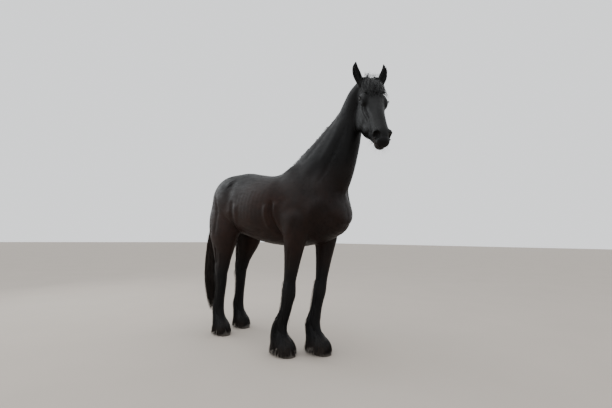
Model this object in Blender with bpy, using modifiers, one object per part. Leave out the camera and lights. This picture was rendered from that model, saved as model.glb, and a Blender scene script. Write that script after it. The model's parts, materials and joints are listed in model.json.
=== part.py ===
# Black feather-legged horse standing with its head turned to the right.
# Metres, +Z up.  The body faces +X, its own left side is +Y, the soles stand at Z = 0.
import bpy
import bmesh
import math
import numpy as np
from mathutils import Vector, Matrix

for old in list(bpy.data.objects):
    bpy.data.objects.remove(old, do_unlink=True)

# ------------------------------------------------------------------ sizes
SHIFT_X, SHIFT_Y = -0.1344, 0.0011     # moves the whole body so that its box stands centred on the origin
GAP = 0.0003                           # air between neighbouring solids
CLEAR = 0.0030                         # air left under the hair
POLL = (1.0045, -0.0265, 2.119)        # top of the head between the ears
HEAD_DOWN, HEAD_TURN, HEAD_TILT = 54.2, -44.3, -7.1   # degrees: nose below level, to the right, leaned
HEAD_SCALE = 1.04
EYE_RADIUS = 0.022
EYE_AT = (0.200, 0.083, -0.050)        # in the head's own frame: towards the muzzle, left, forehead side

# trunk stations: x, height of the widest line, half width, top, bottom, roundness above and below
TRUNK = [
    (-0.850, 1.28, 0.080, 1.375, 1.18, 2.0, 2.0), (-0.79, 1.28, 0.150, 1.450, 1.10, 2.0, 2.0),
    (-0.70, 1.28, 0.205, 1.512, 1.04, 2.1, 2.1), (-0.56, 1.28, 0.250, 1.564, 1.00, 2.2, 2.2),
    (-0.42, 1.26, 0.272, 1.578, 0.975, 2.2, 2.2), (-0.24, 1.23, 0.285, 1.542, 0.93, 2.2, 2.3),
    (-0.05, 1.20, 0.298, 1.508, 0.885, 2.2, 2.3), (0.12, 1.19, 0.290, 1.506, 0.865, 2.1, 2.2),
    (0.27, 1.18, 0.262, 1.540, 0.86, 1.8, 2.0), (0.40, 1.17, 0.240, 1.560, 0.865, 1.6, 1.9),
    (0.50, 1.16, 0.225, 1.51, 0.885, 1.8, 2.0), (0.60, 1.17, 0.205, 1.45, 0.940, 2.0, 2.1),
    (0.668, 1.20, 0.160, 1.40, 1.01, 2.0, 2.1)]
# neck stations: centre, half width, crest, throat, roundness of crest and throat
NECK = [
    (0.24, 0.0, 1.20, 0.18, 0.33, 0.26, 1.8, 2.0), (0.42, 0.0, 1.36, 0.185, 0.300, 0.308, 1.6, 2.0),
    (0.575, 0.002, 1.53, 0.155, 0.265, 0.268, 1.6, 2.1), (0.705, 0.004, 1.705, 0.120, 0.218, 0.192, 1.6, 2.1),
    (0.800, 0.002, 1.870, 0.090, 0.154, 0.122, 1.7, 2.1),
    (0.872, -0.014, 2.012, 0.074, 0.100, 0.080, 1.9, 2.1),
    (0.925, -0.022, 2.068, 0.060, 0.085, 0.060, 2.0, 2.0)]
NECK_SIDE = [(0, 1, 0), (0, 1, 0), (0.15, 1, 0), (0.45, 1, 0)]
# head stations along the nose: distance, centre height, half width, top, bottom, roundness
FACE = [
    (-0.03, -0.075, 0.050, 0.055, 0.07, 2.2, 2.0), (0.05, -0.085, 0.078, 0.085, 0.10, 2.3, 2.0),
    (0.13, -0.085, 0.088, 0.093, 0.12, 2.5, 2.0), (0.20, -0.085, 0.086, 0.093, 0.12, 2.6, 2.0),
    (0.28, -0.085, 0.070, 0.086, 0.10, 2.5, 2.0), (0.38, -0.080, 0.054, 0.074, 0.075, 2.4, 2.1),
    (0.48, -0.078, 0.051, 0.062, 0.062, 2.3, 2.2), (0.56, -0.078, 0.055, 0.055, 0.058, 2.2, 2.2),
    (0.605, -0.082, 0.047, 0.043, 0.045, 2.1, 2.1)]
JAW = [
    (0.10, -0.15, 0.050, 0.06, 0.085, 2.0, 2.0), (0.19, -0.175, 0.064, 0.09, 0.115, 2.0, 2.2),
    (0.28, -0.165, 0.060, 0.085, 0.115, 2.0, 2.2), (0.38, -0.135, 0.046, 0.06, 0.100, 2.0, 2.1),
    (0.48, -0.125, 0.037, 0.04, 0.068, 2.0, 2.1), (0.57, -0.130, 0.034, 0.03, 0.030, 2.0, 2.0)]
# hind leg stations: height, back edge, front edge, half width
HIND = [
    (1.25, -0.828, -0.46, .112), (1.15, -0.836, -0.42, .118), (1.06, -0.824, -0.400, .116),
    (0.98, -0.808, -0.402, .107), (0.90, -0.788, -0.437, .095), (0.82, -0.770, -0.485, .080),
    (0.75, -0.762, -0.522, .068), (0.69, -0.752, -0.550, .060), (0.63, -0.760, -0.572, .056),
    (0.58, -0.748, -0.590, .055), (0.52, -0.726, -0.601, .053), (0.44, -0.716, -0.609, .049),
    (0.34, -0.718, -0.614, .049), (0.25, -0.732, -0.611, .051), (0.20, -0.710, -0.600, .046),
    (0.145, -0.670, -0.585, .044), (0.085, -0.650, -0.540, .054)]
HIND_HOCK = {1: -0.055, -1: 0.050}
HIND_FOOT = {1: -0.072, -1: 0.008}
HIND_LINE = {1: (.122, .165, .165), -1: (.122, .158, .140)}   # sideways place at haunch, hock, fetlock
# foreleg stations: height, backwards, forwards, half width, about the leg's own line
FORE = [
    (1.08, .150, .130, .098), (0.98, .130, .115, .092), (0.88, .100, .092, .080), (0.78, .078, .076, .068),
    (0.68, .064, .064, .057), (0.59, .055, .055, .051), (0.53, .056, .058, .054), (0.48, .060, .056, .054),
    (0.43, .058, .048, .050), (0.36, .060, .042, .047), (0.29, .064, .044, .048), (0.24, .066, .047, .051),
    (0.20, .058, .049, .048), (0.145, .042, .042, .043), (0.085, .050, .060, .055)]
FORE_X = {1: [(1.08, .450), (.88, .448), (.59, .430), (.48, .420), (.36, .404), (.24, .387), (.20, .392),
              (.145, .42), (.085, .455)],
          -1: [(1.08, .410), (.88, .380), (.59, .332), (.48, .326), (.36, .288), (.24, .230), (.20, .226),
               (.145, .240), (.085, .272)]}
FORE_LINE = {1: (.155, .103, .084), -1: (-.172, -.168, -.145)}
HOOF_FRONT, HOOF_HIND = 0.066, 0.060   # half widths of the soles
# forwards, height, then width, front and back as shares of the half width, and roundness
HOOF = [(-.030, 0.125, .70, .72, .72, 2.2), (-.008, 0.075, .86, .92, .86, 2.2),
        (.006, 0.035, .95, 1.04, .94, 2.3), (.022, -0.02, 1.03, 1.16, 1.02, 2.4)]
EAR_FOOT = (0.025, 0.068, -0.040)
EAR_RISE = {1: (-0.152, 0.020, 0.113), -1: (-0.140, -0.046, 0.101)}   # from foot to tip, left and right
EAR = [(0, 0, .027, .026), (.22, .007, .034, .027), (.45, .016, .036, .024), (.70, .018, .027, .018),
       (.90, .009, .013, .010), (1, .002, .004, .004)]
TAIL = [
    (-0.78, 0, 1.46, .035, .035), (-0.858, 0, 1.405, .040, .040), (-0.900, -.008, 1.27, .054, .042),
    (-0.915, -.025, 1.05, .084, .050), (-0.930, -.036, 0.80, .102, .060), (-0.938, -.040, 0.52, .098, .062),
    (-0.935, -.036, 0.30, .066, .048), (-0.932, -.032, 0.15, .030, .028)]
# along the forehead, height, half width, up, down
FORELOCK = [
    (-0.050, -0.030, .032, .030, .03), (0.0, -0.004, .050, .030, .03), (0.06, 0.002, .062, .026, .03),
    (0.11, 0.003, .058, .020, .03), (0.155, 0.000, .036, .010, .02)]
MANE_ANGLES = (108, 22)                # round the neck's section, crest to left side
MANE_SINK = 0.022                      # the mane's inner face starts this far in before it is cut back
NECK_CUT = ((0.36, 0, 1.60), (0.70, 0, 1.26))       # withers to the point of the chest
# behind the ears to behind the jaw, in the head's own frame
THROAT_CUT = ((-0.083, -0.05, 0.012), (0.075, -0.05, -0.290), (0.42, -0.05, -0.345))
ELBOW_Z, STIFLE_Z = 0.845, 0.925       # where the legs leave the trunk
EAR_CUT = 0.29                         # fraction of the ear's length at which it leaves the head
CORONET_FRONT, CORONET_BACK = 0.094, 0.058          # the hoof's upper edge, front and back
VOXEL = 0.011                          # grain of the merged body
BODY_TRIANGLES = 2560
HEAD_REACH = 0.55                      # the head's faces lie within this distance of the poll
CRUMB = 24                             # a loose bit with fewer corners is waste from a cut
SHARP = 35                             # degrees between faces that stay a hard edge
COAT_LOOK = ((0.026, 0.022, 0.021), 0.40, 0.0)      # colour, roughness, clear coat
LOOKS = {"eye": ((0.020, 0.012, 0.010), 0.08, 1.0), "hoof": ((0.10, 0.085, 0.070), 0.55, 0.0),
         "mane": ((0.014, 0.012, 0.012), 0.45, 0.0), "forelock": ((0.014, 0.012, 0.012), 0.45, 0.0),
         "tail": ((0.014, 0.012, 0.012), 0.45, 0.0), "feather": ((0.030, 0.025, 0.022), 0.60, 0.0)}

# ------------------------------------------------------------------ small helpers
scene = bpy.context.scene
parts = bpy.data.collections.new("horse")
cutters = bpy.data.collections.new("cutters")
scene.collection.children.link(parts)
scene.collection.children.link(cutters)
cutters.hide_render = True
shift = Vector((SHIFT_X, SHIFT_Y, 0))


def turn(axis, degrees):
    return np.array(Matrix.Rotation(math.radians(degrees), 3, axis))


HEAD_FRAME = turn('Z', HEAD_TURN) @ turn('Y', HEAD_DOWN) @ turn('X', HEAD_TILT)


def on_head(p):
    """A point given in the head's own frame, placed on the body."""
    return HEAD_SCALE * (HEAD_FRAME @ np.asarray(p, float)) + np.asarray(POLL)


def material(name, colour, roughness, coat=0.0):
    m = bpy.data.materials.new(name)
    m.use_nodes = True
    shader = m.node_tree.nodes["Principled BSDF"]
    shader.inputs["Base Color"].default_value = (*colour, 1)
    shader.inputs["Roughness"].default_value = roughness
    shader.inputs["Coat Weight"].default_value = coat
    m.diffuse_color = (*colour, 1)
    return m


def add(name, verts, faces, where):
    mesh = bpy.data.meshes.new(name)
    mesh.from_pydata([tuple(v) for v in verts], [], [tuple(f) for f in faces])
    mesh.update()
    body = bpy.data.objects.new(name, mesh)
    where.objects.link(body)
    return body


def settle(body):
    """Replaces the mesh by its modified shape and drops the modifiers."""
    bpy.context.view_layer.update()
    seen = body.evaluated_get(bpy.context.evaluated_depsgraph_get())
    made = bpy.data.meshes.new_from_object(seen)
    body.modifiers.clear()
    body.data = made
    return body


def tidy(body):
    """Triangles only, with the slivers left by a cut welded away."""
    work = bmesh.new()
    work.from_mesh(body.data)
    bmesh.ops.remove_doubles(work, verts=work.verts, dist=0.00004)
    bmesh.ops.dissolve_degenerate(work, edges=work.edges, dist=0.00001)
    bmesh.ops.triangulate(work, faces=work.faces, ngon_method='EAR_CLIP')
    work.to_mesh(body.data)
    work.free()
    body.data.update()


def carve(body, cutter, solver='EXACT'):
    """Takes the cutter out of the body; MANIFOLD is for grown bodies whose skin crosses itself."""
    step = body.modifiers.new("carve", 'BOOLEAN')
    step.operation = 'DIFFERENCE'
    step.solver = solver
    step.object = cutter
    settle(body)
    tidy(body)
    bpy.data.objects.remove(cutter, do_unlink=True)
    return body


def smooth_rows(rows, n):
    """A Hermite curve through the rows, spaced evenly along their first three columns."""
    rows = np.asarray(rows, float)
    s = np.concatenate([[0], np.cumsum(np.linalg.norm(np.diff(rows[:, :3], axis=0), axis=1))])
    slope = np.empty_like(rows)
    slope[1:-1] = (rows[2:] - rows[:-2]) / (s[2:] - s[:-2])[:, None]
    slope[0] = (rows[1] - rows[0]) / (s[1] - s[0])
    slope[-1] = (rows[-1] - rows[-2]) / (s[-1] - s[-2])
    t = np.linspace(0, s[-1], n)
    i = np.clip(np.searchsorted(s, t, side='right') - 1, 0, len(rows) - 2)
    h = (s[i + 1] - s[i])[:, None]
    x = (t - s[i])[:, None] / h
    return ((2*x**3 - 3*x**2 + 1)*rows[i] + (x**3 - 2*x**2 + x)*h*slope[i]
            + (3*x**2 - 2*x**3)*rows[i + 1] + (x**3 - x**2)*h*slope[i + 1])


def frames(rows, side, up):
    """Directions along, across (left) and up for each sample of a path."""
    along = np.gradient(rows[:, :3], axis=0)
    along /= np.linalg.norm(along, axis=1)[:, None]
    side = np.atleast_2d(np.asarray(side, float))
    q = np.linspace(0, 1, len(side))
    want = np.stack([np.interp(np.linspace(0, 1, len(rows)), q, side[:, j]) for j in range(3)], 1)
    left = want - (want * along).sum(1)[:, None] * along
    left /= np.linalg.norm(left, axis=1)[:, None]
    top = np.cross(along, left)
    if (top.mean(0) @ np.asarray(up, float)) < 0:
        top = -top
    return along, left, top


def sleeve(name, rows, side=(0, 1, 0), up=(0, 0, 1), samples=40, around=28, cap=1.0, where=None):
    """Loft of unlike rounded sections.  rows: x y z, half width, up, down, roundness up, roundness down."""
    rows = smooth_rows(rows, samples)
    along, left, top = frames(rows, side, up)
    a = np.linspace(0, 2*math.pi, around, endpoint=False)
    cu, cv = np.cos(a), np.sin(a)
    rings = []
    for c, l, t, r in zip(rows[:, :3], left, top, np.maximum(rows[:, 3:], 0.002)):
        n = np.where(cv > 0, r[3], r[4])
        w = r[0]*np.sign(cu)*np.abs(cu)**(2/n)
        h = np.where(cv > 0, r[1], r[2])*np.sign(cv)*np.abs(cv)**(2/n)
        rings.append(c + w[:, None]*l + h[:, None]*t)
    caps = []
    for end, sign in ((0, -1), (-1, 1)):
        r = rows[end]
        depth = cap*min(r[3], r[4], r[5])
        centre = rows[end, :3]
        extra = [centre + (rings[end] - centre)*math.cos(q) + sign*along[end]*depth*math.sin(q)
                 for q in (math.radians(30), math.radians(58), math.radians(78))]
        caps.append((extra, centre + sign*along[end]*depth))
    stack = caps[0][0][::-1] + rings + caps[1][0]
    verts = np.concatenate(stack + [[caps[0][1]], [caps[1][1]]])
    m, k = len(stack), around
    faces = [(i*k + j, i*k + (j + 1) % k, (i + 1)*k + (j + 1) % k, (i + 1)*k + j)
             for i in range(m - 1) for j in range(k)]
    faces += [(m*k, (j + 1) % k, j) for j in range(k)]
    faces += [(m*k + 1, (m - 1)*k + j, (m - 1)*k + (j + 1) % k) for j in range(k)]
    body = add(name, verts + np.array(shift), faces, where or parts)
    outward(body)
    return body


def outward(body):
    """Turns the faces so that they all look outwards."""
    mesh = body.data
    n = len(mesh.vertices)
    co = np.empty(n*3)
    mesh.vertices.foreach_get("co", co)
    co = co.reshape(-1, 3)
    mesh.calc_loop_triangles()
    tri = np.empty(len(mesh.loop_triangles)*3, np.int32)
    mesh.loop_triangles.foreach_get("vertices", tri)
    p = co[tri.reshape(-1, 3)] - co.mean(0)
    if np.einsum('ij,ij->i', p[:, 0], np.cross(p[:, 1], p[:, 2])).sum() < 0:
        mesh.flip_normals()


def egg(name, centre, radii, axes=None, segments=32, where=None):
    """An ellipsoid from the sphere primitive."""
    bpy.ops.mesh.primitive_uv_sphere_add(segments=segments, ring_count=segments//2, radius=1.0)
    body = bpy.context.object
    body.name = name
    for c in list(body.users_collection):
        c.objects.unlink(body)
    (where or parts).objects.link(body)
    axes = np.eye(3) if axes is None else np.asarray(axes)
    m = Matrix((axes @ np.diag(radii)).tolist()).to_4x4()
    m.translation = Vector(tuple(centre)) + shift
    body.data.transform(m)
    return body


def head_egg(name, centre, radii, **more):
    return egg(name, on_head(centre), HEAD_SCALE*np.asarray(radii), axes=HEAD_FRAME, **more)


def slab(name, centre, size, axes, where=None):
    """A thin box: centre, full sizes, and its three directions as columns."""
    bpy.ops.mesh.primitive_cube_add(size=1.0)
    body = bpy.context.object
    body.name = name
    for c in list(body.users_collection):
        c.objects.unlink(body)
    (where or cutters).objects.link(body)
    m = Matrix((np.asarray(axes) @ np.diag(size)).tolist()).to_4x4()
    m.translation = Vector(tuple(centre)) + shift
    body.data.transform(m)
    body.display_type = 'WIRE'
    return body


def swollen(body, by):
    """A copy of a body grown by a small distance, used as a cutter."""
    twin = body.copy()
    twin.data = body.data.copy()
    cutters.objects.link(twin)
    grow = twin.modifiers.new("grow", 'DISPLACE')
    grow.strength = by
    grow.mid_level = 0.0
    return settle(twin)


def ease(t):
    t = min(max(t, 0.0), 1.0)
    return t*t*(3 - 2*t)


# ------------------------------------------------------------------ the whole body before it is divided
def head_rows(table):
    """Stations along the nose, placed on the body."""
    return [(*on_head((x, 0, zc)), HEAD_SCALE*a, HEAD_SCALE*t, HEAD_SCALE*b, n1, n2)
            for x, zc, a, t, b, n1, n2 in table]


def fore_rows(s):
    """Stations of one foreleg: its line leans with the knee and the fetlock."""
    heights, places = np.array(FORE_X[s][::-1]).T
    elbow, knee, fetlock = FORE_LINE[s]
    rows = []
    for z, back, front, half in FORE:
        x, y = np.interp(z, heights, places), np.interp(z, [.24, .50, 1.0], [fetlock, knee, elbow])
        rows.append((x, y, z, half, front, back, 2, 2))
    return rows


def hind_rows(s):
    """Stations of one hind leg: hock and foot move fore and aft by their own amounts."""
    haunch, hock, fetlock = HIND_LINE[s]
    rows = []
    for z, back, front, half in HIND:
        t, u = ease((1.12 - z)/.50), ease((.55 - z)/.33)
        x = (back + front)/2 + HIND_HOCK[s]*t*(1 - u) + HIND_FOOT[s]*t*u
        y = s*np.interp(z, [.22, .60, .95, 1.25], [fetlock, hock, .160, haunch])
        rows.append((x, y, z, half, (front - back)/2, (front - back)/2, 2, 2))
    return rows


def ear_point(s, q, out=0.0):
    """A point of an ear's middle line at the fraction q of its length."""
    foot = np.array([EAR_FOOT[0], s*EAR_FOOT[1], EAR_FOOT[2]])
    return on_head(foot + q*np.array(EAR_RISE[s]) + np.array([0, s*out, 0]))


def half_body(s):
    """The muscles, the ear and the legs of one side: s is 1 on the left and -1 on the right."""
    shoulder = [(0.26, s*.10, 1.46, .06, .10, .10, 2, 2), (0.42, s*.145, 1.31, .072, .13, .13, 2, 2),
                (0.600, s*.152, 1.16, .082, .110, .115, 2, 2)]
    ear = [(*ear_point(s, q, out), a, b, b, 2, 2) for q, out, a, b in EAR]
    return [
        head_egg("orbit", (0.200, s*0.080, -0.050), (0.052, 0.028, 0.034)),
        head_egg("cheek", (0.235, s*0.060, -0.165), (0.110, 0.030, 0.105)),
        head_egg("nostril", (0.560, s*0.045, -0.060), (0.042, 0.022, 0.036)),
        head_egg("cheekbone", (0.28, s*0.060, -0.085), (0.09, 0.018, 0.020)),
        sleeve("ear", ear, side=HEAD_FRAME[:, 1], up=HEAD_FRAME[:, 2], samples=20, around=20),
        sleeve("foreleg", fore_rows(s), up=(1, 0, 0), samples=56, around=24),
        sleeve("shoulder", shoulder, up=(1, 0, 0), samples=16, cap=0.8),
        egg("elbow", (0.34, s*.165, 1.09), (.125, .085, .17), axes=turn('Y', -20)),
        egg("breast", (0.590, s*.085, 1.18), (.088, .092, .19)),
        egg("neckbase", (0.612, s*.085, 1.31), (.088, .095, .15)),
        sleeve("hindleg", hind_rows(s), up=(1, 0, 0), samples=60, around=24),
        egg("haunch", (-0.55, s*.125, 1.33), (.24, .13, .20), axes=turn('Y', -15)),
        egg("stifle", (-0.49, s*.150, 1.00), (.085, .080, .120), axes=turn('Y', 20))]


trunk_rows = [(x, 0, zc, a, top - zc, zc - low, n1, n2) for x, zc, a, top, low, n1, n2 in TRUNK]
forms = [sleeve("trunk", trunk_rows, samples=48, cap=0.5),
         sleeve("neck", NECK, side=NECK_SIDE, up=(-0.7, 0, 0.5), samples=36),
         sleeve("face", head_rows(FACE), side=HEAD_FRAME[:, 1], up=HEAD_FRAME[:, 2], samples=32),
         sleeve("jaw", head_rows(JAW), side=HEAD_FRAME[:, 1], up=HEAD_FRAME[:, 2], samples=24),
         head_egg("chin", (0.585, 0, -0.130), (0.040, 0.038, 0.030))]
for s in (1, -1):
    forms += half_body(s)

body = forms[0]
with bpy.context.temp_override(active_object=body, selected_editable_objects=forms, object=body,
                               selected_objects=forms):
    bpy.ops.object.join()
body.name = "body"
body.data.name = "body"
grid = body.modifiers.new("merge", 'REMESH')
grid.mode = 'VOXEL'
grid.voxel_size = VOXEL
ironed = body.modifiers.new("ease", 'SMOOTH')
ironed.factor = 0.5
ironed.iterations = 4
settle(body)

# the head keeps more faces than the rest when the number is brought down
poll = Vector(POLL) + shift
fine = body.vertex_groups.new(name="fine")
for v in body.data.vertices:
    on_face = (v.co - poll).length < HEAD_REACH and v.co.z > 1.35 and v.co.x > 0.62 + SHIFT_X
    fine.add([v.index], 0.15 if on_face else 1.0, 'REPLACE')
thin = body.modifiers.new("fewer", 'DECIMATE')
thin.ratio = BODY_TRIANGLES / (2*len(body.data.polygons))
thin.vertex_group = "fine"
thin.vertex_group_factor = 0.00002
settle(body)
print("body", len(body.data.polygons), "faces")


# ------------------------------------------------------------------ dividing it with thin cuts
def plane_axes(normal, side):
    """Three directions of a plate that lies square to the normal."""
    n = np.asarray(normal, float)
    n /= np.linalg.norm(n)
    s = np.asarray(side, float) - np.dot(side, n)*n
    s /= np.linalg.norm(s)
    return np.column_stack([np.cross(s, n), s, n])


def cut_between(a, b, side, reach, width):
    """A thin slab standing on the line from a to b and reaching past both ends."""
    a, b = np.asarray(a, float), np.asarray(b, float)
    along = (b - a)/np.linalg.norm(b - a)
    s = np.asarray(side, float) - np.dot(side, along)*along
    s /= np.linalg.norm(s)
    axes = np.column_stack([along, s, np.cross(along, s)])
    return slab("cut", (a + b)/2, (np.linalg.norm(b - a) + 2*reach, width, GAP), axes)


carve(body, cut_between(*NECK_CUT, (0, 1, 0), 0.10, 0.70))
throat = [on_head(p) for p in THROAT_CUT]
carve(body, cut_between(throat[0], throat[1], HEAD_FRAME[:, 1], 0.0, 0.46))
carve(body, cut_between(throat[1], throat[2], HEAD_FRAME[:, 1], 0.004, 0.46))
for s in (1, -1):
    carve(body, slab("cut", (0.42, s*0.16, ELBOW_Z), (0.34, 0.30, GAP), np.eye(3)))
    carve(body, slab("cut", (-0.63, s*0.17, STIFLE_Z), (0.56, 0.33, GAP), np.eye(3)))
    ear_axes = plane_axes(HEAD_FRAME @ np.array(EAR_RISE[s]), HEAD_FRAME[:, 1])
    carve(body, slab("cut", ear_point(s, EAR_CUT, 0.008), (0.13, 0.125, GAP), ear_axes))


def kind_of(low, high):
    """Which part of the body a loose piece is, from its box."""
    middle = (low + high)/2
    side = "left" if middle[1] > 0 else "right"
    if high[2] < 1.0:
        return ("foreleg_" if middle[0] > 0 else "hindleg_") + side
    if low[2] > 2.0:
        left = ((middle - np.asarray(POLL)) @ HEAD_FRAME)[1] > 0
        return "ear_left" if left else "ear_right"
    if low[2] > 1.5:
        return "head"
    return "trunk" if low[0] < 0 else "neck"


def points_of(piece):
    """The piece's corners as an array, in the unshifted frame."""
    co = np.empty(len(piece.data.vertices)*3)
    piece.data.vertices.foreach_get("co", co)
    return co.reshape(-1, 3) - np.array(shift)


bpy.ops.object.select_all(action='DESELECT')
body.select_set(True)
bpy.context.view_layer.objects.active = body
bpy.ops.mesh.separate(type='LOOSE')
named = {}
loose = sorted((o for o in parts.objects if o.name.startswith("body")), key=lambda o: len(o.data.vertices))
for piece in loose:
    if len(piece.data.vertices) < CRUMB:
        bpy.data.objects.remove(piece, do_unlink=True)
        continue
    co = points_of(piece)
    kind = kind_of(co.min(0), co.max(0))
    if kind in named:
        bpy.data.objects.remove(named[kind], do_unlink=True)
    piece.name = kind
    piece.data.name = kind
    named[kind] = piece

# ------------------------------------------------------------------ eyes, nostrils, mouth
head = named["head"]
for s, side in ((1, "left"), (-1, "right")):
    at = on_head((EYE_AT[0], s*EYE_AT[1], EYE_AT[2]))
    named["eye_" + side] = egg("eye_" + side, at, (EYE_RADIUS,)*3, axes=HEAD_FRAME, segments=14)
    socket = egg("socket", at, (EYE_RADIUS + 2*GAP,)*3, axes=HEAD_FRAME, segments=14, where=cutters)
    carve(head, socket)
    for centre, radii in (((0.200, s*0.112, -0.051), (0.019, 0.016, 0.0115)),
                          ((0.586, s*0.050, -0.052), (0.017, 0.022, 0.012))):
        carve(head, head_egg("opening", centre, radii, segments=12, where=cutters))
mouth = slab("mouth", on_head((0.600, 0, -0.104)), (0.17, 0.20, 0.0030), HEAD_FRAME @ turn('Y', -8))
carve(head, mouth)


# ------------------------------------------------------------------ hooves
def hoof_of(name, foot, w, leg):
    """A hoof under the leg: w is half its width; the leg ends where the hoof begins, on a slanted plane."""
    x, y = foot
    rows = [(x + dx, y, z, w*a, w*f, w*b, n, 2.2) for dx, z, a, f, b, n in HOOF]
    hoof = sleeve(name, rows, up=(1, 0, 0), samples=5, around=18, cap=0.3)
    carve(hoof, slab("floor", (x, y, -0.10), (0.5, 0.5, 0.20), np.eye(3)))
    lean = math.atan2(CORONET_FRONT - CORONET_BACK, 2*w)
    axes = turn('Y', -math.degrees(lean))
    middle = np.array([x, y, (CORONET_FRONT + CORONET_BACK)/2])
    carve(hoof, slab("over", middle + axes[:, 2]*(0.15 - GAP/2), (0.5, 0.5, 0.30), axes))
    carve(leg, slab("under", middle - axes[:, 2]*(0.15 - GAP/2), (0.5, 0.5, 0.30), axes))
    return hoof


# ------------------------------------------------------------------ long hair as solid envelopes
def fit(hair, others):
    """Takes the neighbours, grown by the air left under the hair, out of a hair solid."""
    for o in others:
        carve(hair, swollen(o, CLEAR), 'MANIFOLD')


def feather_of(name, rows, wide, back):
    """The bell of hair round the hoof: it follows the leg down and opens over the foot."""
    x, y = rows[-1][:2]
    heights = [r[2] for r in rows][::-1]
    places = [r[0] for r in rows][::-1]
    stations = [(.34, -.004, .34, .30, .25), (.26, -.004, .47, .46, .48), (.17, -.012, .66, .62, .68)]
    bell = [(float(np.interp(z, heights, places)) + dx, y, z, wide*a, wide*f, back*b, 2, 2)
            for z, dx, a, f, b in stations]
    bell += [(x - .016, y, .085, wide*.90, wide*.92, back*.88, 2.2, 2.2),
             (x - .014, y, .020, wide, wide, back, 2.2, 2.2)]
    return sleeve(name, bell, up=(1, 0, 0), samples=7, around=12, cap=0.13)


for s, side in ((1, "left"), (-1, "right")):
    for place, rows, w, wide, back in (("front", fore_rows(s), HOOF_FRONT, .100, .140),
                                       ("hind", hind_rows(s), HOOF_HIND, .086, .118)):
        leg = named[("foreleg_" if place == "front" else "hindleg_") + side]
        hoof = hoof_of("hoof_%s_%s" % (place, side), rows[-1][:2], w, leg)
        feather = feather_of("feather_%s_%s" % (place, side), rows, wide, back)
        fit(feather, [leg, hoof])
        named[hoof.name], named[feather.name] = hoof, feather

tail_rows = [(x, y, z, a, d, d, 2, 2) for x, y, z, a, d in TAIL]
tail = sleeve("tail", tail_rows, up=(1, 0, 0), samples=13, around=12)
fit(tail, [named["trunk"], named["hindleg_left"], named["hindleg_right"]])
named["tail"] = tail


def blanket(name, path, side, up, start, end, samples=13, across=6):
    """A thin quilt on the outside of a sleeve, from one angle round its section to another."""
    rows = smooth_rows(path, samples)
    along, left, top = frames(rows, side, up)
    angles = np.radians(np.linspace(start, end, across))
    thick = np.interp(np.linspace(0, 1, across), [0, .15, .6, 1], [.004, .020, .018, .003])
    stack = []
    for i, (c, l, t, r) in enumerate(zip(rows[:, :3], left, top, rows)):
        cu, cv = np.cos(angles), np.sin(angles)
        w, h = r[3]*np.sign(cu)*np.abs(cu)**(2/r[6]), r[4]*np.abs(cv)**(2/r[6])
        out = w[:, None]*l + h[:, None]*t
        away = out/np.linalg.norm(out, axis=1)[:, None]
        ends = min(1.0, (i + 1)/4, (len(rows) - i)/3)
        outer, inner = c + out + away*(thick*ends)[:, None], c + out - away*MANE_SINK
        stack.append(np.concatenate([outer, inner[::-1]]))
    k, m = len(stack[0]), len(stack)
    verts = np.concatenate(stack + [[stack[0].mean(0)], [stack[-1].mean(0)]]) + np.array(shift)
    faces = [(i*k + j, i*k + (j + 1) % k, (i + 1)*k + (j + 1) % k, (i + 1)*k + j)
             for i in range(m - 1) for j in range(k)]
    faces += [(m*k, (j + 1) % k, j) for j in range(k)]
    faces += [(m*k + 1, (m - 1)*k + j, (m - 1)*k + (j + 1) % k) for j in range(k)]
    made = add(name, verts, faces, parts)
    outward(made)
    return made


mane = blanket("mane", NECK[1:], NECK_SIDE, (-0.7, 0, 0.5), *MANE_ANGLES)
fit(mane, [named[n] for n in ("neck", "trunk", "head", "ear_left", "ear_right")])
named["mane"] = mane

forelock_rows = [(*on_head((x, 0, z)), HEAD_SCALE*a, HEAD_SCALE*u, HEAD_SCALE*d, 2, 2)
                 for x, z, a, u, d in FORELOCK]
forelock = sleeve("forelock", forelock_rows, side=HEAD_FRAME[:, 1], up=HEAD_FRAME[:, 2],
                  samples=7, around=14, cap=0.5)
fit(forelock, [named[n] for n in ("head", "ear_left", "ear_right", "mane", "neck")])
named["forelock"] = forelock


def keep_largest(name):
    """Drops the crumbs that the cuts left beside a piece."""
    piece = named[name]
    bpy.ops.object.select_all(action='DESELECT')
    piece.select_set(True)
    bpy.context.view_layer.objects.active = piece
    bpy.ops.mesh.separate(type='LOOSE')
    bits = [o for o in parts.objects if o.name == name or o.name.startswith(name + ".")]
    bits.sort(key=lambda o: len(o.data.vertices))
    for o in bits[:-1]:
        bpy.data.objects.remove(o, do_unlink=True)
    bits[-1].name = name
    bits[-1].data.name = name
    return bits[-1]


# ------------------------------------------------------------------ materials, one for each body
total = 0
for name in sorted(named):
    piece = keep_largest(name)
    colour, roughness, coat = LOOKS.get(name.split("_")[0], COAT_LOOK)
    piece.data.materials.clear()
    piece.data.materials.append(material(name, colour, roughness, coat))
    piece.data.shade_smooth()
    piece.data.set_sharp_from_angle(angle=math.radians(SHARP))
    piece.vertex_groups.clear()
    triangles = sum(len(p.vertices) - 2 for p in piece.data.polygons)
    total += triangles
    print("%-22s %6d triangles" % (name, triangles))
for cutter in list(cutters.objects):
    bpy.data.objects.remove(cutter, do_unlink=True)
corners = np.concatenate([points_of(o) for o in parts.objects]) + np.array(shift)
low, high = corners.min(0), corners.max(0)
print("total", total, "triangles, box", low.round(4), high.round(4), "centre", ((low + high)/2).round(4))
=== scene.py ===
# %% [markdown]
# # A black, feather-legged horse
# This lesson builds the looks of a life-size model of a black horse with heavy feathers on its legs.
# It stands square on four hooves, its head turned to its right. A fixed frame, the solid model, says
# where each part is; here one skin is drawn over the flesh, and eyes, hooves, mane, forelock, tail
# and feathers are laid on it as separate pieces. All lengths are metres, the body faces +X, its own
# left is +Y, and the soles stand at Z = 0.

# %% Load the frame
import json
import math

import bpy
import numpy as np
from mathutils import Matrix, Vector

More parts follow.
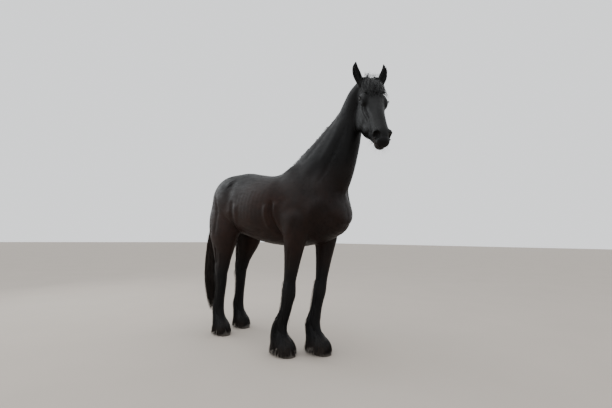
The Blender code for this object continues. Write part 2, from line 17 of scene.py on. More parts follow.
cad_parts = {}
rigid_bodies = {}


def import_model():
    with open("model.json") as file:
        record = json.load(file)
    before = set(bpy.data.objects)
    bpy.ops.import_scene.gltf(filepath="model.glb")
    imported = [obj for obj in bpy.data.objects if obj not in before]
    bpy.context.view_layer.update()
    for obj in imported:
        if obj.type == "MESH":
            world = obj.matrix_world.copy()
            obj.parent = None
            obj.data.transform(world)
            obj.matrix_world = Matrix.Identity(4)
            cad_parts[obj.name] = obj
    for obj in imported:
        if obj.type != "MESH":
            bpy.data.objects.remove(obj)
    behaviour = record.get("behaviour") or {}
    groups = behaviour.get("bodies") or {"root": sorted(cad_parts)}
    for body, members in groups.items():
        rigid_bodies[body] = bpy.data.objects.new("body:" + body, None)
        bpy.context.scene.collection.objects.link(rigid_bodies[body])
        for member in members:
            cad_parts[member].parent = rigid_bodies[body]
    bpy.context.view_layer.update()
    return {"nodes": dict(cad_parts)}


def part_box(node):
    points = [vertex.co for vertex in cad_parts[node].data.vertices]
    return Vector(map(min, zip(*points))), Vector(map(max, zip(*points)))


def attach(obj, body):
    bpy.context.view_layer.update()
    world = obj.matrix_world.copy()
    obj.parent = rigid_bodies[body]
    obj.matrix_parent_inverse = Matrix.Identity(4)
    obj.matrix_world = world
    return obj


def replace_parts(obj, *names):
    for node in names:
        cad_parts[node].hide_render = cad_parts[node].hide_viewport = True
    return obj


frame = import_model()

# %% [markdown]
# ## The body's own measures
# A horse is drawn here the way a sculptor builds an armature: trunk, neck, face, jaw and legs are
# soft tubes whose width and depth change from station to station, and muscles, cheeks and brows are
# eggs laid on them. The stations are the ones that the solid model was built from, so the skin fits
# inside it. A sculpted mesh would be quicker to draw by hand, but stations can be read and changed.

# %% Stations of the trunk, neck and head
HEAD_TURN, HEAD_DOWN, HEAD_TILT = -44.3, 54.2, -7.1     # degrees: right, nose below level, leaned
HEAD_SCALE = 1.04
POLL = np.array([1.0045, -0.0265, 2.119])             # top of the head between the ears
EYE_AT = (0.200, 0.083, -0.050)                        # towards the muzzle, outwards, forehead side

# x, height of the widest line, half width, top, bottom, roundness above and below
TRUNK = [
    (-0.850, 1.28, 0.080, 1.375, 1.18, 2.0, 2.0), (-0.79, 1.28, 0.150, 1.450, 1.10, 2.0, 2.0),
    (-0.70, 1.28, 0.205, 1.512, 1.04, 2.1, 2.1), (-0.56, 1.28, 0.250, 1.564, 1.00, 2.2, 2.2),
    (-0.42, 1.26, 0.272, 1.578, 0.975, 2.2, 2.2), (-0.24, 1.23, 0.285, 1.542, 0.93, 2.2, 2.3),
    (-0.05, 1.20, 0.298, 1.508, 0.885, 2.2, 2.3), (0.12, 1.19, 0.290, 1.506, 0.865, 2.1, 2.2),
    (0.27, 1.18, 0.262, 1.540, 0.86, 1.8, 2.0), (0.40, 1.17, 0.240, 1.560, 0.865, 1.6, 1.9),
    (0.50, 1.16, 0.225, 1.51, 0.885, 1.8, 2.0), (0.60, 1.17, 0.205, 1.45, 0.940, 2.0, 2.1),
    (0.668, 1.20, 0.160, 1.40, 1.01, 2.0, 2.1)]
# x, y, z, half width, crest, throat, roundness of crest and throat
NECK = [
    (0.24, 0.0, 1.20, 0.18, 0.33, 0.26, 1.8, 2.0), (0.42, 0.0, 1.36, 0.185, 0.300, 0.308, 1.6, 2.0),
    (0.575, 0.002, 1.53, 0.155, 0.265, 0.268, 1.6, 2.1), (0.705, 0.004, 1.705, 0.120, 0.218, 0.192, 1.6, 2.1),
    (0.800, 0.002, 1.870, 0.090, 0.154, 0.122, 1.7, 2.1), (0.872, -0.014, 2.012, 0.074, 0.100, 0.080, 1.9, 2.1),
    (0.925, -0.022, 2.068, 0.060, 0.085, 0.060, 2.0, 2.0)]
NECK_SIDE = [(0, 1, 0), (0, 1, 0), (0.15, 1, 0), (0.45, 1, 0)]
# distance along the nose, centre height, half width, top, bottom, roundness
FACE = [
    (-0.03, -0.075, 0.050, 0.055, 0.07, 2.2, 2.0), (0.05, -0.085, 0.078, 0.085, 0.10, 2.3, 2.0),
    (0.13, -0.085, 0.088, 0.093, 0.12, 2.5, 2.0), (0.20, -0.085, 0.086, 0.093, 0.12, 2.6, 2.0),
    (0.28, -0.085, 0.070, 0.086, 0.10, 2.5, 2.0), (0.38, -0.080, 0.054, 0.074, 0.075, 2.4, 2.1),
    (0.48, -0.078, 0.051, 0.062, 0.062, 2.3, 2.2), (0.56, -0.078, 0.055, 0.055, 0.058, 2.2, 2.2),
    (0.605, -0.082, 0.047, 0.043, 0.045, 2.1, 2.1)]
JAW = [
    (0.10, -0.15, 0.050, 0.06, 0.085, 2.0, 2.0), (0.19, -0.175, 0.064, 0.09, 0.115, 2.0, 2.2),
    (0.28, -0.165, 0.060, 0.085, 0.115, 2.0, 2.2), (0.38, -0.135, 0.046, 0.06, 0.100, 2.0, 2.1),
    (0.48, -0.125, 0.037, 0.04, 0.068, 2.0, 2.1), (0.57, -0.130, 0.034, 0.03, 0.030, 2.0, 2.0)]
EAR_FOOT = (0.025, 0.068, -0.040)
EAR_RISE = {1: (-0.152, 0.020, 0.113), -1: (-0.140, -0.046, 0.101)}    # from foot to tip, left and right
# along the ear, outwards, half width, half depth
EAR = [(0, 0, .027, .026), (.22, .007, .034, .027), (.45, .016, .036, .024), (.70, .018, .027, .018),
       (.90, .009, .013, .010), (1, .002, .004, .004)]

# %% Stations of the legs and the tail
# height, back edge, front edge, half width
HIND = [
    (1.25, -0.828, -0.46, .112), (1.15, -0.836, -0.42, .118), (1.06, -0.824, -0.400, .116),
    (0.98, -0.808, -0.402, .107), (0.90, -0.788, -0.437, .095), (0.82, -0.770, -0.485, .080),
    (0.75, -0.762, -0.522, .068), (0.69, -0.752, -0.550, .060), (0.63, -0.760, -0.572, .056),
    (0.58, -0.748, -0.590, .055), (0.52, -0.726, -0.601, .053), (0.44, -0.716, -0.609, .049),
    (0.34, -0.718, -0.614, .049), (0.25, -0.732, -0.611, .051), (0.20, -0.710, -0.600, .046),
    (0.145, -0.670, -0.585, .044), (0.085, -0.650, -0.540, .054)]
HIND_HOCK = {1: -0.055, -1: 0.050}
HIND_FOOT = {1: -0.072, -1: 0.008}
HIND_LINE = {1: (.122, .165, .165), -1: (.122, .158, .140)}    # sideways at haunch, hock, fetlock
# height, backwards, forwards, half width, about the leg's own line
FORE = [
    (1.08, .150, .130, .098), (0.98, .130, .115, .092), (0.88, .100, .092, .080), (0.78, .078, .076, .068),
    (0.68, .064, .064, .057), (0.59, .055, .055, .051), (0.53, .056, .058, .054), (0.48, .060, .056, .054),
    (0.43, .058, .048, .050), (0.36, .060, .042, .047), (0.29, .064, .044, .048), (0.24, .066, .047, .051),
    (0.20, .058, .049, .048), (0.145, .042, .042, .043), (0.085, .050, .060, .055)]
FORE_X = {1: [(1.08, .450), (.88, .448), (.59, .430), (.48, .420), (.36, .404), (.24, .387), (.20, .392),
              (.145, .42), (.085, .455)],
          -1: [(1.08, .410), (.88, .380), (.59, .332), (.48, .326), (.36, .288), (.24, .230), (.20, .226),
               (.145, .240), (.085, .272)]}
FORE_LINE = {1: (.155, .103, .084), -1: (-.172, -.168, -.145)}
TAIL = [
    (-0.78, 0, 1.46, .035, .035), (-0.858, 0, 1.405, .040, .040), (-0.900, -.008, 1.27, .054, .042),
    (-0.915, -.025, 1.05, .084, .050), (-0.930, -.036, 0.80, .102, .060), (-0.938, -.040, 0.52, .098, .062),
    (-0.935, -.036, 0.30, .066, .048), (-0.932, -.032, 0.15, .030, .028)]
SKIN_DEPTH = 0.004                     # the skin lies this far under the outer face of the short coat

# %% Curves and frames
def turn(axis, degrees):
    """The 3 x 3 matrix that turns a point about one axis."""
    c, s = np.cos(np.radians(degrees)), np.sin(np.radians(degrees))
    a, b = [(1, 2), (2, 0), (0, 1)]["XYZ".index(axis)]
    m = np.eye(3)
    m[a, a], m[a, b], m[b, a], m[b, b] = c, -s, s, c
    return m


HEAD_FRAME = turn("Z", HEAD_TURN) @ turn("Y", HEAD_DOWN) @ turn("X", HEAD_TILT)
HEAD_NOSE, HEAD_SIDE, HEAD_UP = HEAD_FRAME.T          # towards the muzzle, to its left, out of the forehead


def on_head(p):
    """A point of the head's own frame (muzzle, left, forehead) placed on the body."""
    return HEAD_SCALE * np.asarray(p, float) @ HEAD_FRAME.T + POLL


def smooth_rows(rows, n):
    """A cubic curve through the rows: each stretch is the Hermite polynomial of its two ends."""
    rows = np.asarray(rows, float)
    s = np.concatenate([[0], np.cumsum(np.linalg.norm(np.diff(rows[:, :3], axis=0), axis=1))])
    rate = np.empty_like(rows)
    rate[1:-1] = (rows[2:] - rows[:-2]) / (s[2:] - s[:-2])[:, None]
    rate[0] = (rows[1] - rows[0]) / (s[1] - s[0])
    rate[-1] = (rows[-1] - rows[-2]) / (s[-1] - s[-2])
    t = np.linspace(0, s[-1], n)
    i = np.clip(np.searchsorted(s, t, side="right") - 1, 0, len(rows) - 2)
    h = (s[i + 1] - s[i])[:, None]
    x = (t - s[i])[:, None] / h
    return ((2*x**3 - 3*x**2 + 1)*rows[i] + (x**3 - 2*x**2 + x)*h*rate[i]
            + (3*x**2 - 2*x**3)*rows[i + 1] + (x**3 - x**2)*h*rate[i + 1])


def unit(v):
    """Vectors of length one."""
    return v / np.maximum(np.linalg.norm(v, axis=-1, keepdims=True), 1e-9)


def frames(rows, side, up):
    """Directions along, across and over a path, leaning on the wished side direction."""
    along = unit(np.gradient(rows[:, :3], axis=0))
    side = np.atleast_2d(np.asarray(side, float))
    q, t = np.linspace(0, 1, len(side)), np.linspace(0, 1, len(rows))
    want = np.stack([np.interp(t, q, side[:, j]) for j in range(3)], 1)
    left = unit(want - (want*along).sum(1)[:, None]*along)
    top = np.cross(along, left)
    if top.mean(0) @ np.asarray(up, float) < 0:
        top = -top
    return along, left, top


# %% Tubes and eggs as distances
def tube(rows, side=(0, 1, 0), up=(0, 0, 1), samples=40, blend=0.02, cap=1.0, op="+"):
    """A limb: rows of x y z, half width, up, down, roundness up and down."""
    r = smooth_rows(rows, samples)
    along, left, top = frames(r, side, up)
    r[:, 3:6] = np.maximum(r[:, 3:6], 0.002)
    reach = r[:, 3:6].max() + 0.10
    return dict(op=op, c=r[:, :3], t=along, u=left, v=top, size=r[:, 3:6], n=np.clip(r[:, 6:8], 1.2, 6),
                blend=blend, cap=cap, lo=r[:, :3].min(0) - reach, hi=r[:, :3].max(0) + reach)


def egg(centre, radii, axes=None, blend=0.02, op="+"):
    """A muscle or a hollow: an ellipsoid with its three directions as the columns of axes."""
    radii = np.asarray(radii, float)
    centre = np.asarray(centre, float)
    reach = radii.max() + 0.10
    return dict(op=op, c=centre, r=radii, axes=np.eye(3) if axes is None else np.asarray(axes, float),
                blend=blend, lo=centre - reach, hi=centre + reach)


def head_egg(centre, radii, blend=0.012, op="+", lean=None):
    """An egg placed in the head's own frame."""
    axes = HEAD_FRAME if lean is None else HEAD_FRAME @ lean
    return egg(on_head(centre), HEAD_SCALE*np.asarray(radii), axes, blend, op)


def egg_distance(e, p):
    """Distance to an ellipsoid: the length of the ray from its centre, less the part inside it."""
    q = (p - e["c"]) @ e["axes"]
    rho = np.maximum(np.sqrt(((q / e["r"])**2).sum(1)), 1e-4)
    return np.maximum(np.sqrt((q**2).sum(1))*(1 - 1/rho), -e["r"].min())


def along_tube(t, p):
    """Where each point lies on a tube: station number, offset across, over and along."""
    near = np.argmin((t["c"]**2).sum(1) - 2*(p @ t["c"].T), axis=1)
    d = p - t["c"][near]
    step = np.where((d*t["t"][near]).sum(1) > 0, 1, -1)
    other = np.clip(near + step, 0, len(t["c"]) - 1)
    leg = t["c"][other] - t["c"][near]
    w = np.clip((d*leg).sum(1) / np.maximum((leg**2).sum(1), 1e-12), 0, 1)
    return near, other, w


def tube_distance(t, p):
    """Distance to a tube: the nearest cross section is a rounded oval, measured along its own ray."""
    near, other, w = along_tube(t, p)
    m = w[:, None]
    mix = lambda a: a[near]*(1 - m) + a[other]*m
    d = p - mix(t["c"])
    du, dv, dt = ((d*mix(t[k])).sum(1) for k in ("u", "v", "t"))
    size, n = mix(t["size"]), mix(t["n"])
    over = dv > 0
    a, b = size[:, 0], np.where(over, size[:, 1], size[:, 2])
    e = np.where(over, n[:, 0], n[:, 1])
    at_end = (near == other) & ((near == 0) | (near == len(t["c"]) - 1))
    dt = np.where(at_end, dt, 0)
    rho = ((np.abs(du)/a)**e + (np.abs(dv)/b)**e + (np.abs(dt)/(t["cap"]*np.minimum(a, b)))**e)**(1/e)
    r = np.sqrt(du**2 + dv**2 + dt**2)
    return np.maximum(r*(1 - 1/np.maximum(rho, 1e-4)), -np.minimum(a, b))


def distance(shapes, p, far=0.15):
    """Signed distance to the blended shapes: two that meet within their blend width are faired together."""
    p = p.astype(np.float32)
    f = np.full(len(p), far, np.float32)
    for s in shapes:
        m = np.flatnonzero(((p > s["lo"]) & (p < s["hi"])).all(1))
        if len(m) == 0:
            continue
        g = egg_distance(s, p[m]) if "r" in s else tube_distance(s, p[m])
        k = s["blend"]
        sign = 1.0 if s["op"] == "+" else -1.0
        a, b = sign*f[m], g
        f[m] = sign*(np.minimum(a, b) - np.maximum(k - np.abs(a - b), 0)**2 / (4*k))
    return f


# %% The flesh
def head_rows(table):
    """Stations given along the nose, placed on the body."""
    return [(*on_head((x, 0, zc)), HEAD_SCALE*a, HEAD_SCALE*t, HEAD_SCALE*b, n1, n2)
            for x, zc, a, t, b, n1, n2 in table]


def ease(t):
    """A soft step from 0 to 1."""
    t = np.clip(t, 0.0, 1.0)
    return t*t*(3 - 2*t)


def fore_rows(s):
    """Stations of one foreleg: its line leans with the knee and the fetlock."""
    zs, xs = np.array(FORE_X[s][::-1]).T
    elbow, knee, fetlock = FORE_LINE[s]
    return [(np.interp(z, zs, xs), np.interp(z, [.24, .50, 1.0], [fetlock, knee, elbow]), z,
             half, front, back, 2, 2) for z, back, front, half in FORE]


def hind_rows(s):
    """Stations of one hind leg: hock and foot move fore and aft by their own amounts."""
    haunch, hock, fetlock = HIND_LINE[s]
    rows = []
    for z, back, front, half in HIND:
        t, u = ease((1.12 - z)/.50), ease((.55 - z)/.33)
        x = (back + front)/2 + HIND_HOCK[s]*t*(1 - u) + HIND_FOOT[s]*t*u
        y = s*np.interp(z, [.22, .60, .95, 1.25], [fetlock, hock, .160, haunch])
        rows.append((x, y, z, half, (front - back)/2, (front - back)/2, 2, 2))
    return rows


trunk_tube = tube([(x, 0, zc, a, top - zc, zc - low, n1, n2) for x, zc, a, top, low, n1, n2 in TRUNK],
                  samples=90, cap=0.5)
neck_tube = tube(NECK, side=NECK_SIDE, up=(-0.7, 0, 0.5), samples=140, blend=0.06)
face_tube = tube(head_rows(FACE), side=HEAD_SIDE, up=HEAD_UP, samples=80, blend=0.02)
jaw_tube = tube(head_rows(JAW), side=HEAD_SIDE, up=HEAD_UP, samples=60, blend=0.02)
fore_tube = {s: tube(fore_rows(s), up=(1, 0, 0), samples=110, blend=0.03) for s in (1, -1)}
hind_tube = {s: tube(hind_rows(s), up=(1, 0, 0), samples=110, blend=0.03) for s in (1, -1)}

# %% Muscles, cheeks, brows and ears
def ear_point(s, q, out=0.0):
    """A point of an ear's middle line at the fraction q of its length."""
    return np.array([EAR_FOOT[0], s*EAR_FOOT[1], EAR_FOOT[2]]) + q*np.array(EAR_RISE[s]) + np.array([0, s*out, 0])


def ear_front(s):
    """The way the bowl of an ear faces, in the head's frame."""
    return unit(np.array([.62, s*.22, .76]))


def side_shapes(s):
    """The muscles and the bony points of one side: s is 1 on the left and -1 on the right."""
    made = [
        # shoulder blade down to the point of the shoulder, upper arm, breast below and above
        tube([(0.26, s*.10, 1.46, .055, .10, .10, 2, 2), (0.42, s*.145, 1.31, .068, .13, .13, 2, 2),
              (0.600, s*.150, 1.16, .082, .110, .115, 2, 2)], up=(1, 0, 0), samples=16, cap=0.8, blend=0.06),
        egg((0.34, s*.165, 1.10), (.130, .085, .17), turn("Y", -20), blend=0.045),
        egg((0.588, s*.085, 1.18), (.086, .091, .185), blend=0.06),
        egg((0.608, s*.085, 1.31), (.087, .094, .147), blend=0.06),
        # haunch, stifle
        egg((-0.55, s*.125, 1.33), (.24, .13, .20), turn("Y", -15), blend=0.06),
        egg((-0.49, s*.150, 1.00), (.085, .080, .120), turn("Y", 20), blend=0.05),
        # head: brow, cheek, front of the cheek, cheek bone, nostril wing, upper lip
        head_egg((0.206, s*.075, -.052), (.062, .027, .040), blend=0.028),
        head_egg((0.235, s*.058, -.165), (.112, .031, .105), blend=0.030),
        head_egg((0.330, s*.040, -.150), (.090, .026, .070), blend=0.030),
        head_egg((0.28, s*.060, -.085), (.10, .017, .016), blend=0.016, lean=turn("Z", -s*9)),
        head_egg((0.562, s*.043, -.062), (.044, .022, .036), blend=0.012),
        head_egg((0.590, s*.024, -.094), (.030, .024, .020), blend=0.012),
        # hollow over the eye, hollow before the cheek
        head_egg((0.115, s*.083, -.030), (.040, .016, .020), blend=0.020, op="-"),
        head_egg((0.410, s*.098, -.120), (.080, .026, .026), blend=0.040, op="-"),
    ]
    rows = [(*on_head(ear_point(s, q, out)), a, b, b, 2, 2) for q, out, a, b in EAR]
    made.append(tube(rows, side=HEAD_SIDE, up=HEAD_UP, samples=24, blend=0.014))
    return made


def openings(s):
    """What is hollowed out on one side: the bowl of the ear and the nostril."""
    bowl = [(*on_head(ear_point(s, q, out) + ear_front(s)*lift), a, b, b, 2, 2) for q, out, a, b, lift in
            [(.18, .008, .010, .010, .016), (.34, .014, .021, .019, .016), (.52, .018, .022, .017, .014),
             (.70, .018, .0145, .012, .011), (.84, .012, .005, .006, .009)]]
    return [
        tube(bowl, side=HEAD_SIDE, up=HEAD_UP, samples=20, blend=0.004, op="-"),
        head_egg((0.592, s*.050, -.050), (.0195, .024, .0130), blend=0.006, op="-", lean=turn("Y", 35)),
        head_egg((0.574, s*.055, -.064), (.0105, .018, .0185), blend=0.006, op="-", lean=turn("Y", -10)),
    ]


shapes = [trunk_tube, neck_tube, face_tube, jaw_tube, head_egg((0.585, 0, -.130), (.040, .038, .030))]
for s in (1, -1):
    shapes += side_shapes(s) + [fore_tube[s], hind_tube[s]]
slots = [head_egg((EYE_AT[0], s*.112, EYE_AT[2] - .001), (.0185, .017, .0110), blend=0.004, op="-")
         for s in (1, -1)]
mouth = egg(on_head((0.600, 0, -.1055)), (.095, .100, .0022), HEAD_FRAME @ turn("Y", -8), blend=0.003, op="-")
for s in (1, -1):
    shapes += openings(s)
shapes.append(mouth)
closed_shapes = list(shapes)                            # the same with the lids shut
shapes += slots
print(len(shapes), "shapes make the flesh")

# %% Grid lines
SPREAD = 0.12                                           # how fast the spacing grows away from the fine stretch


def graded(lo, hi, coarse, fine, near):
    """Grid lines from lo to hi: fine spacing inside the stretch near, coarse outside, eased between."""
    lines = [lo]
    while lines[-1] < hi:
        x = lines[-1]
        away = max(near[0] - x, x - near[1], 0.0)
        lines.append(x + min(coarse, fine + SPREAD*away))
    return np.array(lines)


# %% Surface nets
CORNERS = np.array([(i, j, k) for k in (0, 1) for j in (0, 1) for i in (0, 1)])
BATCH = 200000                                          # grid crossings measured at a time, to spare memory


def field_on_grid(shapes, grid, depth, coarse=4):
    """Distance at every grid crossing near the surface; further off a block keeps its middle's value."""
    pick = [np.arange(0, len(g), coarse) for g in grid]
    mid = [g[i] for g, i in zip(grid, pick)]
    block = np.stack(np.meshgrid(*mid, indexing="ij"), -1)
    rough = distance(shapes, block.reshape(-1, 3)).reshape(block.shape[:3]) + depth
    up = [np.minimum((np.arange(len(g)) + coarse//2)//coarse, len(i) - 1) for g, i in zip(grid, pick)]
    pitch = [np.gradient(m) for m in mid]
    size = np.sqrt(sum(np.square(v) for v in np.meshgrid(*pitch, indexing="ij")))
    near = (np.abs(rough) < size*0.75 + 0.012)[np.ix_(*up)]
    field = rough[np.ix_(*up)].astype(np.float32)
    at = np.argwhere(near)
    values = np.empty(len(at), np.float32)
    for i in range(0, len(at), BATCH):
        some = at[i:i + BATCH]
        p = np.stack([grid[a][some[:, a]] for a in range(3)], 1)
        values[i:i + BATCH] = distance(shapes, p) + depth
    field[near] = values
    return field


def surface_nets(field, grid):
    """One vertex in each grid cell that the surface crosses, four of them joined round each crossed edge."""
    inside = field < 0
    n = np.array(field.shape)
    count = sum(inside[i:n[0]-1+i, j:n[1]-1+j, k:n[2]-1+k].astype(np.int8) for i, j, k in CORNERS)
    active = (count > 0) & (count < 8)
    cell = np.argwhere(active)
    number = np.full(active.shape, -1, np.int32)
    number[active] = np.arange(len(cell))
    total, hits = np.zeros((len(cell), 3)), np.zeros(len(cell))
    for axis in range(3):
        for corner in CORNERS[CORNERS[:, axis] == 0]:
            a = cell + corner
            b = a.copy()
            b[:, axis] += 1
            fa, fb = field[tuple(a.T)], field[tuple(b.T)]
            crossed = (fa < 0) != (fb < 0)
            w = np.where(crossed, fa/np.where(crossed, fa - fb, 1), 0)
            for d in range(3):
                pa, pb = grid[d][a[:, d]], grid[d][b[:, d]]
                total[:, d] += np.where(crossed, pa + w*(pb - pa), 0)
            hits += crossed
    quads = []
    for axis in range(3):
        u, v = (axis + 1) % 3, (axis + 2) % 3
        low, high = [slice(1, -1)]*3, [slice(1, -1)]*3
        low[axis], high[axis] = slice(0, -1), slice(1, None)
        a, b = inside[tuple(low)], inside[tuple(high)]
        edge = np.argwhere(a != b)
        flip = a[tuple(edge.T)]
        edge[:, u] += 1
        edge[:, v] += 1
        eu, ev = np.eye(3, dtype=int)[u], np.eye(3, dtype=int)[v]
        quad = np.stack([number[tuple((edge - step).T)] for step in (eu + ev, ev, 0*eu, eu)], 1)
        quad[~flip] = quad[~flip][:, ::-1]
        quads.append(quad)
    return total/hits[:, None], np.concatenate(quads)


def slope(shapes, p, h=0.0008):
    """Unit direction in which the distance grows fastest, from four differences."""
    k = np.array([(1, -1, -1), (-1, -1, 1), (-1, 1, -1), (1, 1, 1)], float)
    return unit(sum(step*distance(shapes, p + h*step)[:, None] for step in k))


def onto(shapes, p, depth, rounds=2, reach=0.004):
    """Moves points along the slope until they lie at the wished depth."""
    for _ in range(rounds):
        gap = np.clip(distance(shapes, p) + depth, -reach, reach)
        p = p - gap[:, None]*slope(shapes, p)
    return p

# %% [markdown]
# ## One skin over the flesh
# The skin of a horse is thin and its coat is short, so every muscle, bone and vein reads through it.
# Joining thirty separate meshes would leave seams. Here the blended distance is sampled on a grid
# whose lines crowd together round the head, and a surface net is drawn where it crosses the depth
# of the coat. Lines of muscle are then pressed in as a sculptor would, with a soft stroke.

# %% Draw the net
BODY_PITCH, HEAD_PITCH = 0.0095, 0.0036
EYE_BOX = np.array(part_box("eye_left"), float)
SHIFT = EYE_BOX.mean(0) - on_head(EYE_AT)           # the frame's origin lies under the middle of the body
grid = [graded(-0.94, 1.34, BODY_PITCH, HEAD_PITCH, (0.84, 1.29)),
        graded(-0.36, 0.33, BODY_PITCH, HEAD_PITCH, (-0.31, 0.08)),
        graded(0.04, 2.32, BODY_PITCH, HEAD_PITCH, (1.54, 2.28))]
skin_field = field_on_grid(shapes, grid, SKIN_DEPTH)
skin_points, skin_quads = surface_nets(skin_field, grid)
skin_points = onto(shapes, skin_points, SKIN_DEPTH, rounds=1)
print("skin net", len(skin_points), "points", "shift", SHIFT.round(4))


# %% Smoothing and normals
def neighbour_mean(points, quads):
    """The mean of each point's neighbours along the quads' edges."""
    a = quads[:, [0, 1, 2, 3]].ravel()
    b = quads[:, [1, 2, 3, 0]].ravel()
    total = np.stack([np.bincount(a, points[b, j], len(points)) + np.bincount(b, points[a, j], len(points))
                      for j in range(3)], 1)
    return total / (np.bincount(a, minlength=len(points)) + np.bincount(b, minlength=len(points)))[:, None]


def point_normals(points, quads):
    """Mean direction of the quads round each point, from the cross product of their diagonals."""
    face = np.cross(points[quads[:, 2]] - points[quads[:, 0]], points[quads[:, 3]] - points[quads[:, 1]])
    total = np.stack([sum(np.bincount(quads[:, k], face[:, j], len(points)) for k in range(4))
                      for j in range(3)], 1)
    return unit(total)


def in_head(points):
    """Points in the head's own frame: towards the muzzle, left, forehead side."""
    return (points - POLL) @ HEAD_FRAME / HEAD_SCALE


def fade(x, start, end):
    """0 before start and 1 after end, eased."""
    return ease((x - start)/(end - start))


def head_share(points):
    """1 on the head and 0 on the body, eased at the top of the neck."""
    return fade(points[:, 2], 1.50, 1.62)*fade(points[:, 0], 0.72, 0.86)


SMOOTHING_ROUNDS = 3
head_part = head_share(skin_points)
for _ in range(SMOOTHING_ROUNDS):
    soft = 0.5*(1 - 0.85*head_part)
    skin_points += soft[:, None]*(neighbour_mean(skin_points, skin_quads) - skin_points)


# %% Strokes that press in or raise a line
def stroke_mask(flat, path, width):
    """How near each point of a drawing plane is to a path: a bell curve across, faded at both ends."""
    rows = smooth_rows(np.array([(x, z, 0.0) for x, z in path]), 40)[:, :2]
    d2 = (flat**2).sum(1)[:, None] + (rows**2).sum(1) - 2*flat @ rows.T
    near = np.argmin(d2, 1)
    d = np.maximum(d2[np.arange(len(flat)), near], 0)
    t = near/(len(rows) - 1)
    return np.exp(-d/width**2)*ease(t/0.18)*ease((1 - t)/0.18)


def press(points, quads, strokes, flat, where):
    """Moves points along their normals by the strokes drawn on a plane, where the mask allows."""
    n = point_normals(points, quads)
    move = np.zeros(len(points))
    some = np.flatnonzero(where > 0.01)
    for path, width, depth in strokes:
        move[some] += stroke_mask(flat[some], path, width)*depth*where[some]
    return points - move[:, None]*n


# paths are x, z from the side; then the stroke's half width and its depth (negative raises a ridge)
BODY_STROKES = [
    ([(0.205, 1.26), (0.19, 1.14), (0.215, 1.03), (0.27, 0.93)], .020, .017),      # behind the upper arm
    ([(0.250, 1.24), (0.240, 1.14), (0.265, 1.04), (0.30, 0.95)], .022, -.009),
    ([(0.15, 1.22), (0.14, 1.12), (0.165, 1.00)], .024, -.009),
    ([(0.33, 1.50), (0.43, 1.42), (0.53, 1.30), (0.61, 1.19)], .045, .005),        # before the shoulder blade
    ([(0.22, 1.46), (0.30, 1.36), (0.40, 1.25), (0.50, 1.16)], .050, -.003),       # spine of the blade
    ([(0.20, 1.42), (0.22, 1.33), (0.28, 1.24), (0.36, 1.20)], .045, .004),        # behind the blade
    ([(0.48, 1.12), (0.45, 1.03), (0.40, 0.95), (0.36, 0.88)], .028, .004),        # front of the upper arm
    ([(0.62, 1.06), (0.58, 0.98), (0.52, 0.93)], .024, .005),                      # breast over the forearm
    ([(-0.40, 0.95), (-0.37, 1.05), (-0.34, 1.18), (-0.33, 1.30)], .030, .010),    # flank
    ([(-0.345, 0.93), (-0.31, 1.03), (-0.275, 1.14), (-0.27, 1.26)], .028, -.006),
    ([(-0.42, 1.47), (-0.39, 1.38), (-0.40, 1.26), (-0.42, 1.16)], .055, .006),    # before the haunch
    ([(-0.44, 1.47), (-0.41, 1.42)], .040, -.006),                                 # point of the hip
    ([(-0.77, 1.36), (-0.75, 1.22), (-0.72, 1.06), (-0.69, 0.92)], .024, .006),    # along the buttock
    ([(-0.64, 1.38), (-0.60, 1.22), (-0.60, 1.06), (-0.62, 0.92)], .022, .005),
    ([(0.86, 1.90), (0.80, 1.72), (0.70, 1.52), (0.60, 1.32)], .020, .008),        # groove of the neck
    ([(0.74, 2.00), (0.66, 1.84), (0.52, 1.66), (0.40, 1.54)], .030, .005),        # under the crest
    ([(0.80, 1.88), (0.72, 1.70), (0.60, 1.50)], .030, -.006),
    ([(0.10, 1.00), (-0.05, 0.965), (-0.20, 0.985), (-0.33, 1.03)], .018, .004),   # edge of the belly
]
RIBS = [([(x + .03, 1.36), (x, 1.22), (x - .02, 1.08)], .016, .0009) for x in np.arange(-0.26, 0.14, 0.052)]
n = point_normals(skin_points, skin_quads)
sideways = fade(np.abs(n[:, 1]), 0.25, 0.6)*(1 - head_part)*fade(skin_points[:, 2], 0.84, 0.93)
skin_points = press(skin_points, skin_quads, BODY_STROKES + RIBS, skin_points[:, [0, 2]], sideways)

# %% The chest from the front
n = point_normals(skin_points, skin_quads)
forward = (fade(n[:, 0], 0.3, 0.7)*fade(skin_points[:, 0], 0.45, 0.55)
           *fade(skin_points[:, 2], 0.80, 0.90)*(1 - head_part))
# the middle line, then the edges of the breast muscle on both sides; paths are y, z
CHEST_STROKES = [([(0, 1.36), (0, 1.22), (0, 1.08), (0, 0.95)], .022, .002)]
CHEST_STROKES += [([(s*y, z) for y, z in path], width, .007) for path, width in
                  (([(.02, 1.30), (.10, 1.27), (.16, 1.20)], .022),
                   ([(.135, 1.12), (.15, 1.02), (.13, .92)], .018)) for s in (1, -1)]
skin_points = press(skin_points, skin_quads, CHEST_STROKES, skin_points[:, [1, 2]], forward)

